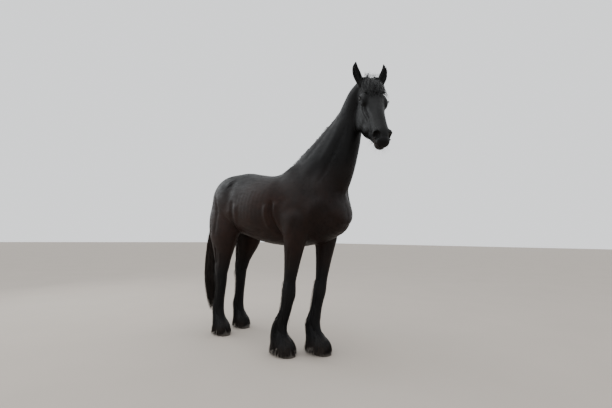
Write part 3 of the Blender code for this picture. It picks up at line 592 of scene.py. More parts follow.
# %% Tendons, knees and hocks
FORE_STROKES = [([(-.020, .47), (-.021, .38), (-.024, .27)], .007, .0055),         # tendon behind the cannon
                ([(.020, .60), (.022, .56), (.020, .50)], .010, -.004),            # knee
                ([(-.02, .585), (.02, .575)], .008, .003), ([(-.02, .505), (.02, .51)], .008, .003),
                ([(.02, .86), (.01, .76), (.012, .66)], .012, .005),               # forearm muscles
                ([(-.035, .86), (-.02, .76), (-.012, .66)], .012, .004)]
HIND_STROKES = [([(-.030, .86), (-.034, .76), (-.030, .66)], .012, .010),          # hollow before the hamstring
                ([(-.010, .50), (-.010, .40), (-.012, .27)], .007, .0055),
                ([(.005, .60), (.010, .55), (.000, .50)], .014, -.004),
                ([(.035, .80), (.030, .70), (.020, .62)], .014, -.004)]
for table, tubes in ((FORE_STROKES, fore_tube), (HIND_STROKES, hind_tube)):
    for s in (1, -1):
        c = tubes[s]["c"][np.argsort(tubes[s]["c"][:, 2])]
        x0 = np.interp(skin_points[:, 2], c[:, 2], c[:, 0])
        y0 = np.interp(skin_points[:, 2], c[:, 2], c[:, 1])
        flat = np.stack([skin_points[:, 0] - x0, skin_points[:, 2]], 1)
        near = (np.abs(flat[:, 0]) < 0.16) & (np.abs(skin_points[:, 1] - y0) < 0.11) & (skin_points[:, 2] < 0.9)
        n = point_normals(skin_points, skin_quads)
        skin_points = press(skin_points, skin_quads, table, flat, near*fade(np.abs(n[:, 1]), 0.3, 0.6))

# %% The face
# paths are in the head's own frame: towards the muzzle, forehead side
FACE_STROKES = [
    ([(0.215, -.083), (0.30, -.098), (0.39, -.108)], .006, -.0035),                # cheek bone
    ([(0.27, -.060), (0.34, -.072), (0.42, -.075)], .014, .0022),                  # beside the nose
    ([(0.345, -.070), (0.40, -.100), (0.44, -.140)], .0035, -.0014),               # veins of the face
    ([(0.30, -.085), (0.345, -.070), (0.42, -.055)], .0035, -.0020),
    ([(0.33, -.20), (0.315, -.15), (0.29, -.11)], .012, .0006),                    # front of the cheek
    ([(0.165, -.034), (0.195, -.020), (0.235, -.030)], .0035, .0012),              # fold over the upper lid
    ([(0.170, -.074), (0.205, -.080), (0.240, -.070)], .0035, .0010),              # fold under the lower lid
    ([(0.236, -.056), (0.262, -.070), (0.285, -.085)], .0040, .0024),              # tear groove
    ([(0.548, -.030), (0.575, -.026), (0.602, -.036)], .004, -.0025),              # rim of the nostril
    ([(0.535, -.050), (0.540, -.075), (0.560, -.090)], .005, .0026),
    ([(0.500, -.100), (0.480, -.118), (0.470, -.130)], .006, .0030),               # corner of the mouth
    ([(0.520, -.090), (0.500, -.108)], .004, -.0020),
    ([(0.615, -.118), (0.580, -.120), (0.540, -.120)], .004, -.0018),              # lower lip
]
on = in_head(skin_points)
n = point_normals(skin_points, skin_quads)
outward = fade(n @ HEAD_SIDE*np.sign(on[:, 1]), 0.15, 0.5)*head_part
outward *= fade(on[:, 0], 0.10, 0.15)*(on[:, 0] < 0.7)*(np.abs(on[:, 1]) > 0.02)
skin_points = press(skin_points, skin_quads, FACE_STROKES, on[:, [0, 2]], outward)
print("strokes pressed in")


# %% Make the skin object
def make_mesh(name, points, faces):
    """A mesh object at the origin from an array of points and an array (or list of arrays) of faces."""
    mesh = bpy.data.meshes.new(name)
    blocks = faces if isinstance(faces, list) else [faces]
    blocks = [np.asarray(b) for b in blocks if len(b)]
    loops = np.concatenate([b.ravel() for b in blocks]).astype(np.int32)
    sizes = np.concatenate([np.full(len(b), b.shape[1]) for b in blocks])
    mesh.vertices.add(len(points))
    mesh.vertices.foreach_set("co", np.asarray(points, np.float32).ravel())
    mesh.loops.add(len(loops))
    mesh.loops.foreach_set("vertex_index", loops)
    mesh.polygons.add(len(sizes))
    mesh.polygons.foreach_set("loop_start", np.concatenate([[0], np.cumsum(sizes)[:-1]]).astype(np.int32))
    mesh.update(calc_edges=True)
    mesh.validate()
    mesh.shade_smooth()
    piece = bpy.data.objects.new(name, mesh)
    bpy.context.scene.collection.objects.link(piece)
    return piece


def apply_modifiers(piece):
    """Replaces a piece's mesh by its evaluated one."""
    seen = piece.evaluated_get(bpy.context.evaluated_depsgraph_get())
    made = bpy.data.meshes.new_from_object(seen)
    piece.modifiers.clear()
    piece.data = made


def coordinates(piece):
    """The piece's points as an array."""
    co = np.empty(len(piece.data.vertices)*3, np.float32)
    piece.data.vertices.foreach_get("co", co)
    return co.reshape(-1, 3).astype(float)


SKIN_TRIANGLES = 192000
skin = make_mesh("skin", skin_points + SHIFT, skin_quads)
thin = skin.modifiers.new("fewer", "DECIMATE")
thin.ratio = min(1.0, SKIN_TRIANGLES/(2*len(skin_quads)))
apply_modifiers(skin)
skin.data.shade_smooth()
print("skin", len(skin.data.vertices), "points", len(skin.data.polygons), "faces")

# %% [markdown]
# ## The looks of the coat
# A black coat is never plain black: sun bleaches the hair ends of barrel, shoulder and thigh to a
# warm brown, while croup, neck and face keep a cool blue-grey shine. One node group holds those
# markings in object coordinates, so skin and tufts always agree. A second group gives the fine
# streaks of short hair as a height for a Bump node. An image would be quicker but would stretch.

# %% Helpers for node groups
def new_group(name, inputs, outputs):
    """A shader node group with named sockets: (name, kind, default) in and (name, kind) out."""
    group = bpy.data.node_groups.new(name, "ShaderNodeTree")
    for label, kind, default in inputs:
        socket = group.interface.new_socket(label, in_out="INPUT", socket_type="NodeSocket" + kind)
        socket.default_value = default
    for label, kind in outputs:
        group.interface.new_socket(label, in_out="OUTPUT", socket_type="NodeSocket" + kind)
    return group, group.nodes.new("NodeGroupInput"), group.nodes.new("NodeGroupOutput")


def noise(tree, vector, scale, detail=3.0, rough=0.55):
    """A noise texture read at a vector; gives its factor socket."""
    node = tree.nodes.new("ShaderNodeTexNoise")
    node.inputs["Scale"].default_value = scale
    node.inputs["Detail"].default_value = detail
    node.inputs["Roughness"].default_value = rough
    tree.links.new(vector, node.inputs["Vector"])
    return node.outputs["Fac"]


def stretched(tree, vector, scale, rotation=(0, 0, 0)):
    """A Mapping node that turns and squeezes the coordinates, so that a noise becomes streaks."""
    node = tree.nodes.new("ShaderNodeMapping")
    node.inputs["Scale"].default_value = scale
    node.inputs["Rotation"].default_value = [math.radians(r) for r in rotation]
    tree.links.new(vector, node.inputs["Vector"])
    return node.outputs["Vector"]


def ranged(tree, value, low, high, to_low=0.0, to_high=1.0):
    """Maps a value from one range to another, eased and clamped."""
    node = tree.nodes.new("ShaderNodeMapRange")
    node.interpolation_type = "SMOOTHSTEP"
    for socket, number in zip(("From Min", "From Max", "To Min", "To Max"), (low, high, to_low, to_high)):
        node.inputs[socket].default_value = number
    tree.links.new(value, node.inputs["Value"])
    return node.outputs["Result"]


def maths(tree, operation, a, b=0.0):
    """One Math node; a and b are sockets or numbers, and b is idle where the operation takes one."""
    node = tree.nodes.new("ShaderNodeMath")
    node.operation = operation
    for socket, value in zip(node.inputs, (a, b)):
        if isinstance(value, (int, float)):
            socket.default_value = value
        else:
            tree.links.new(value, socket)
    return node.outputs[0]


def blend(tree, factor, a, b):
    """A colour between a and b; each is a socket or a colour."""
    node = tree.nodes.new("ShaderNodeMix")
    node.data_type = "RGBA"
    for socket, value in ((node.inputs["Factor"], factor), (node.inputs["A"], a), (node.inputs["B"], b)):
        if isinstance(value, (int, float)):
            socket.default_value = value
        elif isinstance(value, tuple):
            socket.default_value = (*value, 1.0)
        else:
            tree.links.new(value, socket)
    return node.outputs["Result"]


# %% Markings group
def axis_values(tree, vector):
    """The x, y and z of a vector as three sockets."""
    node = tree.nodes.new("ShaderNodeSeparateXYZ")
    tree.links.new(vector, node.inputs[0])
    return node.outputs


def build_markings():
    """Colour of the coat by place: brown where the sun bleaches it, blue-black elsewhere."""
    group, given, put = new_group("Black coat markings", [("Vector", "Vector", (0, 0, 0))], [("Color", "Color")])
    at = given.outputs["Vector"]
    x, _, z = axis_values(group, at)
    drift = noise(group, at, 2.2, 3.0)
    low = ranged(group, maths(group, "ADD", z, maths(group, "MULTIPLY", drift, 0.5)), 1.86, 1.42)
    not_leg = ranged(group, z, 0.55, 0.95)
    back = ranged(group, x, 0.50, 0.10, 0.55, 1.0)
    brown = maths(group, "MULTIPLY", maths(group, "MULTIPLY", low, not_leg), back)
    mottle = ranged(group, noise(group, at, 9.0, 4.0), 0.30, 0.72, 0.55, 1.0)
    brown = maths(group, "MULTIPLY", brown, mottle)
    base = blend(group, ranged(group, noise(group, at, 5.0, 4.0), 0.35, 0.7),
                 (.0034, .0034, .0038), (.0066, .0062, .0064))
    warm = blend(group, noise(group, at, 30.0, 4.0), (.0150, .0070, .0050), (.0235, .0112, .0080))
    colour = blend(group, brown, base, warm)
    front = maths(group, "MULTIPLY", ranged(group, z, 1.50, 1.60), ranged(group, x, 0.66, 0.76))
    colour = blend(group, front, colour, (.0026, .0025, .0025))
    group.links.new(colour, put.inputs["Color"])
    return group


def build_short_hair():
    """Height of short flat hair: streaks of noise drawn out along the way the hair lies."""
    group, given, put = new_group("Short hair", [("Vector", "Vector", (0, 0, 0)), ("Head", "Float", 0.0),
                                                 ("Leg", "Float", 0.0)], [("Height", "Float"), ("Tone", "Float")])
    at = given.outputs["Vector"]
    lay = [noise(group, stretched(group, at, (60, 420, 150), (0, 32, 0)), 1.0, 3.0, 0.6),
           noise(group, stretched(group, at, (420, 420, 60), (0, 12, 0)), 1.0, 3.0, 0.6),
           noise(group, stretched(group, at, (420, 420, 90), (-8, 38, -45)), 1.0, 3.0, 0.6)]

    def between(factor, a, b):
        """A value between a and b: a*(1 - factor) + b*factor."""
        return maths(group, "ADD", maths(group, "MULTIPLY", a, maths(group, "SUBTRACT", 1.0, factor)),
                     maths(group, "MULTIPLY", b, factor))

    fine = between(given.outputs["Leg"], lay[0], lay[1])
    fine = between(given.outputs["Head"], fine, lay[2])
    clumps = noise(group, stretched(group, at, (14, 60, 34), (0, 32, 0)), 1.0, 4.0, 0.6)
    height = maths(group, "ADD", maths(group, "MULTIPLY", fine, 0.6), maths(group, "MULTIPLY", clumps, 0.4))
    group.links.new(height, put.inputs["Height"])
    group.links.new(clumps, put.inputs["Tone"])
    return group


MARKINGS, SHORT_HAIR = build_markings(), build_short_hair()
print("groups:", MARKINGS.name, "and", SHORT_HAIR.name)


# %% Place a group and start a material
def use(tree, group, links):
    """Puts a group into a tree; links gives its inputs as sockets or numbers."""
    node = tree.nodes.new("ShaderNodeGroup")
    node.node_tree = group
    for label, value in links.items():
        if isinstance(value, (int, float)):
            node.inputs[label].default_value = value
        else:
            tree.links.new(value, node.inputs[label])
    return node


def material(name, **constants):
    """A Principled material; constants are set on the shader's own sockets. Gives tree, shader, place."""
    m = bpy.data.materials.new(name)
    m.use_nodes = True
    shader = m.node_tree.nodes["Principled BSDF"]
    for label, value in constants.items():
        shader.inputs[label.replace("_", " ")].default_value = value
    place = m.node_tree.nodes.new("ShaderNodeTexCoord").outputs["Object"]
    return m, m.node_tree, shader, place


def bump(tree, shader, height, strength, depth):
    """A Bump node on the shader's normal."""
    node = tree.nodes.new("ShaderNodeBump")
    node.inputs["Strength"].default_value = strength
    node.inputs["Distance"].default_value = depth
    tree.links.new(height, node.inputs["Height"])
    tree.links.new(node.outputs["Normal"], shader.inputs["Normal"])


def mask(tree, name):
    """A painted value kept on the mesh."""
    node = tree.nodes.new("ShaderNodeAttribute")
    node.attribute_name = name
    return node.outputs["Fac"]


# %% The coat on the skin
coat_look, tree, shader, place = material("black_coat", Specular_IOR_Level=0.11)
marks = use(tree, MARKINGS, {"Vector": place})
hair = use(tree, SHORT_HAIR, {"Vector": place, "Head": mask(tree, "head"), "Leg": mask(tree, "leg")})
bare = mask(tree, "bare")                            # lips, nostrils and lids have next to no hair
colour = blend(tree, bare, marks.outputs["Color"], (0.0080, 0.0062, 0.0058))
colour = blend(tree, mask(tree, "pink"), colour, (0.040, 0.021, 0.017))
colour = blend(tree, mask(tree, "dust"), colour, (0.090, 0.072, 0.056))
tree.links.new(colour, shader.inputs["Base Color"])
sheen_patches = ranged(tree, hair.outputs["Tone"], 0.3, 0.7, 0.40, 0.54)
tree.links.new(maths(tree, "ADD", sheen_patches, maths(tree, "MULTIPLY", mask(tree, "dull"), 0.22)),
               shader.inputs["Roughness"])
bump(tree, shader, hair.outputs["Height"], 0.5, 0.0018)

# %% [markdown]
# ## Eyes and lids
# A horse's eye sits at the side of the head under a heavy brow. The lids are too thin for the net of
# the skin, so they are drawn as rings: the first lies on the eyeball, the next turn over the lid's
# edge, then comes the fold, and the last ring dips under the skin. Simply widening the slot in the
# skin would show its grid at the corners.

# %% The frame of one eye
EYE_R = float((EYE_BOX[1] - EYE_BOX[0]).max()/2)/HEAD_SCALE
ALMOND = (.0185, .0104, .0084)                       # half length, height above and below the long axis
GAZE, ALONG = (.26, 1, .10), (1, 0, -.22)            # outwards, and towards the inner corner


def eye_axes(s):
    """Gaze, long axis and up axis of the eye on side s, in the head's frame."""
    gaze = unit(np.array([GAZE[0], s*GAZE[1], GAZE[2]]))
    along = np.array(ALONG, float)
    along = unit(along - gaze*(along @ gaze))
    up = np.cross(gaze, along)*(-s)
    return gaze, along, up*(1 if up[2] > 0 else -1)


def eye_centre(s):
    """Middle of the eyeball on side s, in the head's frame."""
    return np.array([EYE_AT[0], s*EYE_AT[1], EYE_AT[2]])


def almond(theta, scale):
    """Offsets on the eye's plane: |x/a|^n + |y/b|^n = 1 with n < 2, so that both corners are pointed."""
    c, s = np.cos(theta), np.sin(theta)
    b = np.where(s > 0, ALMOND[1], ALMOND[2])
    n = 1.55 + 0.35*np.clip(scale - 1, 0, 1)
    r = (np.abs(c/ALMOND[0])**n + np.abs(s/b)**n)**(-1/n)
    return scale*r*c, scale*r*s


def ring_faces(rings, count, turned=False):
    """Quads between rings of points that go round."""
    i, j = np.divmod(np.arange((rings - 1)*count), count)
    k = (j + 1) % count
    quads = np.stack([i*count + j, i*count + k, (i + 1)*count + k, (i + 1)*count + j], 1)
    return quads[:, ::-1] if turned else quads


# scale of the almond, lift over the eyeball, lift over the skin, how far the skin takes over
LID = [(0.97, -.0004, 0, 0), (1.00, .0008, 0, 0), (1.05, .0022, 0, 0), (1.13, .0028, 0, 0), (1.24, .0030, 0, .25),
       (1.34, .0026, -.0004, .6), (1.42, .0024, -.0014, .9), (1.52, 0, .0003, 1), (1.66, 0, .0008, 1),
       (1.85, 0, .0003, 1), (2.08, 0, -.0004, 1), (2.35, 0, -.0030, 1)]
LID_COUNT = 84


def lids(s):
    """The rings of one eye's lids as points on the body, with their faces."""
    gaze, along, up = eye_axes(s)
    centre = eye_centre(s)
    theta = np.linspace(0, 2*np.pi, LID_COUNT, endpoint=False)
    rings = []
    for scale, lift, skin_lift, share in LID:
        x, y = almond(theta, scale)
        flat = x[:, None]*along + y[:, None]*up
        deep = np.sqrt(np.maximum(EYE_R**2 - x**2 - y**2, (0.35*EYE_R)**2))
        ball = flat + deep[:, None]*gaze
        ball = on_head(centre + ball*(1 + lift/EYE_R))
        outer = onto(closed_shapes, on_head(centre + flat + gaze*0.020), SKIN_DEPTH - skin_lift, 8, .02)
        rings.append(ball*(1 - share) + outer*share)
    return np.concatenate(rings), ring_faces(len(LID), LID_COUNT, turned=s > 0)


# %% Lids joined to the skin
SIDES = ((1, "left"), (-1, "right"))
for s, side in SIDES:
    points, quads = lids(s)
    lid = make_mesh("lid_" + side, points + SHIFT, quads)
    bpy.ops.object.select_all(action="DESELECT")
    lid.select_set(True)
    skin.select_set(True)
    bpy.context.view_layer.objects.active = skin
    bpy.ops.object.join()
print("skin with lids", len(skin.data.vertices), "points")


# %% Eyeballs
EYE_SPOKES = 64


def eyeball(s):
    """A ball whose rings go round the gaze, with the clear front bulging by a bell curve."""
    gaze, along, up = eye_axes(s)
    polar = np.radians(np.concatenate([np.linspace(0.5, 70, 40), np.linspace(74, 178, 24)]))
    theta = np.linspace(0, 2*np.pi, EYE_SPOKES, endpoint=False)
    p, t = np.meshgrid(polar, theta, indexing="ij")
    r = EYE_R*(0.995 + 0.040*np.exp(-(p/np.radians(28))**2))
    x, y = r*np.sin(p)*np.cos(t), r*np.sin(p)*np.sin(t)
    flat = x[..., None]*along + y[..., None]*up + (r*np.cos(p))[..., None]*gaze
    return (on_head(eye_centre(s) + flat.reshape(-1, 3)), ring_faces(len(polar), EYE_SPOKES, turned=s < 0),
            x.ravel()/EYE_R, y.ravel()/EYE_R)


eye_look, tree, shader, place = material("horse_eye", Roughness=0.30, Specular_IOR_Level=0.14,
                                         Coat_Weight=0.12, Coat_Roughness=0.06)
across, height = mask(tree, "across"), mask(tree, "height")


def oval(a, b):
    """Distance from the gaze as a share of an oval with half axes a and b."""
    parts = [maths(tree, "POWER", maths(tree, "ABSOLUTE", maths(tree, "DIVIDE", value, size)), 2.0)
             for value, size in ((across, a), (height, b))]
    return maths(tree, "SQRT", maths(tree, "ADD", *parts))


iris = blend(tree, noise(tree, stretched(tree, place, (900, 900, 900)), 1.0, 3.0),
             (.0060, .0030, .0018), (.022, .0105, .0052))
white = (.012, .0085, .0072)
ball = blend(tree, ranged(tree, oval(.62, .56), 0.93, 1.05), iris, white)
ball = blend(tree, ranged(tree, oval(.60, .54), 0.80, 1.0, 0.0, 0.8), ball, (.006, .004, .003))
ball = blend(tree, ranged(tree, oval(.36, .19), 0.9, 1.1, 1.0, 0.0), ball, (.0012, .0012, .0018))
tree.links.new(ball, shader.inputs["Base Color"])
for s, side in SIDES:
    points, quads, x, y = eyeball(s)
    eye = make_mesh("eyeball_" + side, points + SHIFT, quads)
    for name, values in (("across", x), ("height", y)):
        layer = eye.data.attributes.new(name, "FLOAT", "POINT")
        layer.data.foreach_set("value", values.astype(np.float32))
    eye.data.materials.append(eye_look)
    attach(eye, "root")
    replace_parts(eye, "eye_" + side)
print("eyes", round(EYE_R*HEAD_SCALE*2000, 1), "mm across")

# %% [markdown]
# ## Painting the skin's masks
# The material needs to know where the head, the legs and the bare skin are. A painted value on each
# point is simpler than a map.

# %% Masks on the skin's points
def paint(piece, name, values):
    """Stores one number for each point of a mesh."""
    layer = piece.data.attributes.new(name, "FLOAT", "POINT")
    layer.data.foreach_set("value", np.clip(values, 0, 1).astype(np.float32))


def spot(on, centre, radii, start=1.25, end=0.75):
    """1 inside an oval of the head's frame and 0 outside, eased between two of its own sizes."""
    q = np.sqrt((((np.abs(on) if centre[1] > 0 else on) - centre)/radii)**2 @ np.ones(3))
    return fade(q, start, end)


def skin_masks(points):
    """The masks of points given in the body's own frame (not shifted)."""
    on = in_head(points)
    side = np.stack([on[:, 0], np.abs(on[:, 1]), on[:, 2]], 1)
    head = head_share(points)
    lids = spot(side, (0.200, .100, -.051), (.034, .030, .022))
    nostril = spot(side, (0.585, .052, -.055), (.024, .026, .024))
    lips = fade(on[:, 0], 0.535, 0.60)*fade(on[:, 2], -.080, -.100)
    chin = fade(on[:, 0], 0.545, 0.590)*fade(on[:, 2], -.112, -.130)*head
    around_eye = spot(side, (0.208, .088, -.050), (.055, .045, .042))
    return dict(head=head, leg=fade(points[:, 2], 0.95, 0.80), bare=np.maximum.reduce([lids, nostril, lips])*head,
                pink=np.maximum(around_eye*0.45, lips*0.55)*head, dull=fade(points[:, 2], 0.35, 0.10)*0.8,
                dust=np.maximum(fade(points[:, 2], 0.16, 0.02)*0.35, chin*0.85))


for label, values in skin_masks(coordinates(skin) - SHIFT).items():
    paint(skin, label, values)
skin.data.materials.append(coat_look)
skin.data.polygons.foreach_set("material_index", np.zeros(len(skin.data.polygons), np.int32))
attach(skin, "root")
SKIN_NODES = [n for n in frame["nodes"] if n.split("_")[0] in
              ("trunk", "neck", "head", "ear", "foreleg", "hindleg")]
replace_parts(skin, *SKIN_NODES)
print("skin stands for", len(SKIN_NODES), "solids")

# %% [markdown]
# ## Hooves
# A hoof grows down from the coronet at the slope of the pastern, in faint rings, and its wall meets
# the ground all round. The same shares of a half width give the outline at each height. The solid
# model's plain hoof would do from far off, but its facets show through the feather.

# %% Shape of a hoof
# height, shift, then half width, front and back as shares of the hoof's half width, roundness
HOOF = [(.118, -.030, .70, .72, .72, 2.2), (.075, -.008, .86, .92, .86, 2.2), (.035, .006, .95, 1.04, .94, 2.3),
        (-.02, .022, 1.03, 1.16, 1.02, 2.4)]
HOOF_WIDTH = {"front": .066, "hind": .060}
HOOF_RINGS, HOOF_SPOKES, RING_HEIGHT, RING_DEPTH = 56, 72, .0075, .0005
HOOF_TOP, HOOF_GROUND = .110, .0008
SOLE = ((.90, 0), (.84, .004), (.4, .007), (.02, .008))    # share of the wall's outline, height above its edge


def at_heights(rows, z):
    """The columns of a table whose first column is a falling height, read at given heights."""
    table = np.array(rows[::-1])
    return (np.interp(z, table[:, 0], values) for values in table.T[1:])


def hoof(name, foot, half):
    """Rings of superellipses |x/a|^n + |y/b|^n = 1 with growth rings, closed by a hollow sole."""
    z = np.linspace(HOOF_TOP, HOOF_GROUND, HOOF_RINGS)
    shift, wide, front, back, n = at_heights(HOOF, z[:, None])
    phi = np.linspace(0, 2*np.pi, HOOF_SPOKES, endpoint=False)
    c, s = np.cos(phi), np.sin(phi)
    ripple = 1 - RING_DEPTH/half*(1 + np.sin(2*np.pi*(z[:, None] + .002*c)/RING_HEIGHT))
    x = np.sign(c)*np.abs(c)**(2/n)*np.where(c > 0, front, back)*half*ripple
    y = np.sign(s)*np.abs(s)**(2/n)*wide*half*ripple
    wall = np.stack([foot[0] + shift + x, foot[1] + y, np.broadcast_to(z[:, None], x.shape)], 2)
    edge = wall[-1]
    centre = edge.mean(0)
    sole = [centre + (edge - centre)*k + np.array([0, 0, up]) for k, up in SOLE]
    rings = np.concatenate([wall, np.stack(sole)])
    piece = make_mesh(name, rings.reshape(-1, 3) + SHIFT, ring_faces(len(rings), HOOF_SPOKES, turned=True))
    piece.data.materials.append(hoof_look)
    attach(piece, "root")
    return piece


# %% Look of the horn
hoof_look, tree, shader, place = material("hoof_horn", Specular_IOR_Level=0.35)
grown = noise(tree, stretched(tree, place, (9, 9, 260)), 1.0, 4.0)
fibre = noise(tree, stretched(tree, place, (240, 240, 12)), 1.0, 3.0)
horn = blend(tree, grown, (.020, .017, .015), (.046, .039, .033))
_, _, z = axis_values(tree, place)
horn = blend(tree, ranged(tree, z, .045, .0, 0.0, .75), horn, (.050, .040, .031))
tree.links.new(horn, shader.inputs["Base Color"])
tree.links.new(ranged(tree, fibre, .3, .7, .50, .70), shader.inputs["Roughness"])
bump(tree, shader, maths(tree, "ADD", grown, fibre), 0.35, 0.0010)
for s, side in SIDES:
    for label, rows in (("front", fore_rows(s)), ("hind", hind_rows(s))):
        made = hoof("hoof_horn_%s_%s" % (label, side), rows[-1][:2], HOOF_WIDTH[label])
        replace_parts(made, "hoof_%s_%s" % (label, side))
print("hooves drawn")

# %% [markdown]
# ## Hair as locks
# Long hair is made of thousands of thin locks, each a three-sided ribbon that narrows to one point.
# All locks of a piece are built at once from arrays: a path, a width and a thickness for each ring.
# Real strands would be finer but far too many. Each lock also gets a small patch on the bake map,
# at the place of its root on an unwrap of the body's own tubes.

# %% An unwrap of the body
TILES = [trunk_tube, neck_tube, face_tube, fore_tube[1], fore_tube[-1], hind_tube[1], hind_tube[-1]]
TILE_GRID, TILE_EDGE, PATCH = 3, .03, 0.003          # tiles a side, share kept free, width of a lock's patch
TILE_SIZE = 0.94/TILE_GRID


def unrolled(t, p):
    """Share of the way along a tube, share of the way round it, and the distance to it."""
    near, other, w = along_tube(t, p)
    arc = np.concatenate([[0], np.cumsum(np.linalg.norm(np.diff(t["c"], axis=0), axis=1))])
    along = ((1 - w)*arc[near] + w*arc[other])/arc[-1]
    d = p - t["c"][near]
    turned = np.arctan2((d*t["v"][near]).sum(1), (d*t["u"][near]).sum(1))/(2*np.pi) + 0.5
    return along, turned, tube_distance(t, p)


def on_every_tile(p):
    """Shares along and round, and distances, with one row for each tile."""
    return (np.stack(values) for values in zip(*(unrolled(t, p) for t in TILES)))


def on_map(tile, turned, along):
    """A place on the bake map: (column + share)/3 across and (row + share)/3 up, inside the tile's free edge."""
    row, column = np.divmod(tile, TILE_GRID)
    return np.stack([(column + TILE_EDGE)/TILE_GRID + turned*TILE_SIZE,
                     (row + TILE_EDGE)/TILE_GRID + along*TILE_SIZE], 1)


def places(p):
    """The place of each point, on the tile of its nearest tube."""
    along, turned, away = on_every_tile(p)
    tile, i = np.argmin(away, 0), np.arange(len(p))
    return on_map(tile, turned[tile, i], along[tile, i])


def store_map(piece, uv):
    """Writes a bake map from an array with one row for each face corner."""
    layer = piece.data.uv_layers.new(name="OFBake")
    layer.data.foreach_set("uv", np.asarray(uv, np.float32).ravel())


def map_of_skin():
    """Each face takes its first corner's tile; shares round a tube are unwrapped so no face straddles the seam."""
    mesh = skin.data
    corner = np.empty(len(mesh.loops), np.int32)
    mesh.loops.foreach_get("vertex_index", corner)
    first, size = np.empty((2, len(mesh.polygons)), np.int32)
    mesh.polygons.foreach_get("loop_start", first)
    mesh.polygons.foreach_get("loop_total", size)
    along, turned, away = on_every_tile(coordinates(skin) - SHIFT)
    tile = np.repeat(np.argmin(away[:, corner[first]], 0), size)
    around = turned[tile, corner]
    around -= np.round(around - np.repeat(around[first], size))
    store_map(skin, on_map(tile, around, along[tile, corner]))


map_of_skin()


# %% Many locks as one mesh
TONE_SEED = 900                                      # sets the draw of the locks' tones apart from their shapes


def lock_mesh(name, paths, width, thick, across, sand=0.0, seed=0, sides=3, look=None):
    """Joins locks: ring = path + width*cos*w + thick*sin*v, with w across and v square to w and the path."""
    count, rings = paths.shape[:2]
    t = unit(np.gradient(paths, axis=1))
    w = np.broadcast_to(across, paths.shape)
    w = unit(w - (w*t).sum(2, keepdims=True)*t)
    v = np.cross(t, w)
    angle = np.pi*(0.5 + 2*np.arange(sides)/sides)
    shape = (count, rings)
    width, thick = np.broadcast_to(width, shape), np.broadcast_to(thick, shape)
    ring = (paths[:, :-1, None] + (width[:, :-1, None]*np.cos(angle))[..., None]*w[:, :-1, None]
            + (thick[:, :-1, None]*np.sin(angle))[..., None]*v[:, :-1, None])
    each = (rings - 1)*sides + 1
    points = np.concatenate([ring.reshape(count, -1, 3), paths[:, -1:]], 1).reshape(-1, 3)
    k, j = np.divmod(np.arange((rings - 2)*sides), sides)
    a, b = k*sides + j, k*sides + (j + 1) % sides
    quad = np.stack([a, b, b + sides, a + sides], 1)
    i = np.arange(sides)
    tip = np.stack([(rings - 2)*sides + i, (rings - 2)*sides + (i + 1) % sides, np.full(sides, each - 1)], 1)
    start = (np.arange(count)*each)[:, None, None]
    piece = make_mesh(name, points + SHIFT, [(start + quad).reshape(-1, 4), (start + tip).reshape(-1, 3)])
    centre = places(paths[:, 1])
    patch = np.stack([np.stack([j, j + 1, j + 1, j], 1)/sides, np.stack([k, k, k + 1, k + 1], 1)/(rings - 1)], 2)
    end = np.stack([np.stack([i, i + 1, i + .5], 1)/sides,
                    np.tile(np.array([rings - 2, rings - 2, rings - 1])/(rings - 1), (sides, 1))], 2)
    store_map(piece, np.concatenate([(centre[:, None, None] + PATCH*(q - .5)).reshape(-1, 2)
                                     for q in (patch, end)]))
    own = np.random.default_rng(seed + TONE_SEED).uniform(0, 1, count)
    for label, values in (("tone", own[:, None]), ("sand", sand)):
        values = np.broadcast_to(values, shape)
        both = np.concatenate([np.repeat(values[:, :-1], sides, axis=1), values[:, -1:]], 1)
        paint(piece, label, both.ravel())
    piece.data.materials.append(look or hair_look)
    if look:                                         # short tufts take the light as the skin beneath does
        outward = np.repeat(slope(closed_shapes, paths[:, 0]), each, axis=0)
        piece.data.normals_split_custom_set_from_vertices(outward.tolist())
    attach(piece, "root")
    print(name, count, "locks", len(piece.data.polygons), "faces")
    return piece


# %% The look of hair
hair_look, tree, shader, place = material("black_hair", Specular_IOR_Level=0.30)
marks = use(tree, MARKINGS, {"Vector": place})
tone = ranged(tree, mask(tree, "tone"), 0.0, 1.0, 0.70, 1.45)
scaled = tree.nodes.new("ShaderNodeVectorMath")
scaled.operation = "SCALE"
tree.links.new(marks.outputs["Color"], scaled.inputs[0])
tree.links.new(tone, scaled.inputs["Scale"])
dusty = blend(tree, mask(tree, "tone"), (.018, .0120, .0085), (.050, .0335, .0235))
tree.links.new(blend(tree, mask(tree, "sand"), scaled.outputs[0], dusty), shader.inputs["Base Color"])
tree.links.new(maths(tree, "ADD", 0.40, maths(tree, "MULTIPLY", mask(tree, "sand"), 0.35)),
               shader.inputs["Roughness"])


# %% Hair that lies on the skin
def comb(roots, heading, steps, length, lifts):
    """Walks over the skin: a step along the heading, laid flat on the surface, then back to the wished height."""
    p, path = roots, []
    for k in range(steps + 1):
        n = slope(closed_shapes, p)
        gap = distance(closed_shapes, p) + SKIN_DEPTH - lifts[:, k]
        p = p - np.clip(gap, -.03, .03)[:, None]*n
        path.append(p)
        d = heading(p, k/steps)
        d = unit(d - (d*n).sum(1, keepdims=True)*n)
        p = p + d*(length/steps)[:, None]
    return np.stack(path, 1)


HAIR_FLATNESS = .42                                  # thickness of a lock of long hair as a share of its width


def taper(rings, base=1.0):
    """Share of the full width at each ring: quick growth from the root, then a slow narrowing to the tip."""
    s = np.linspace(0, 1, rings)
    return (base + (1 - base)*ease(s/0.3))*(1 - s**1.6)**0.8


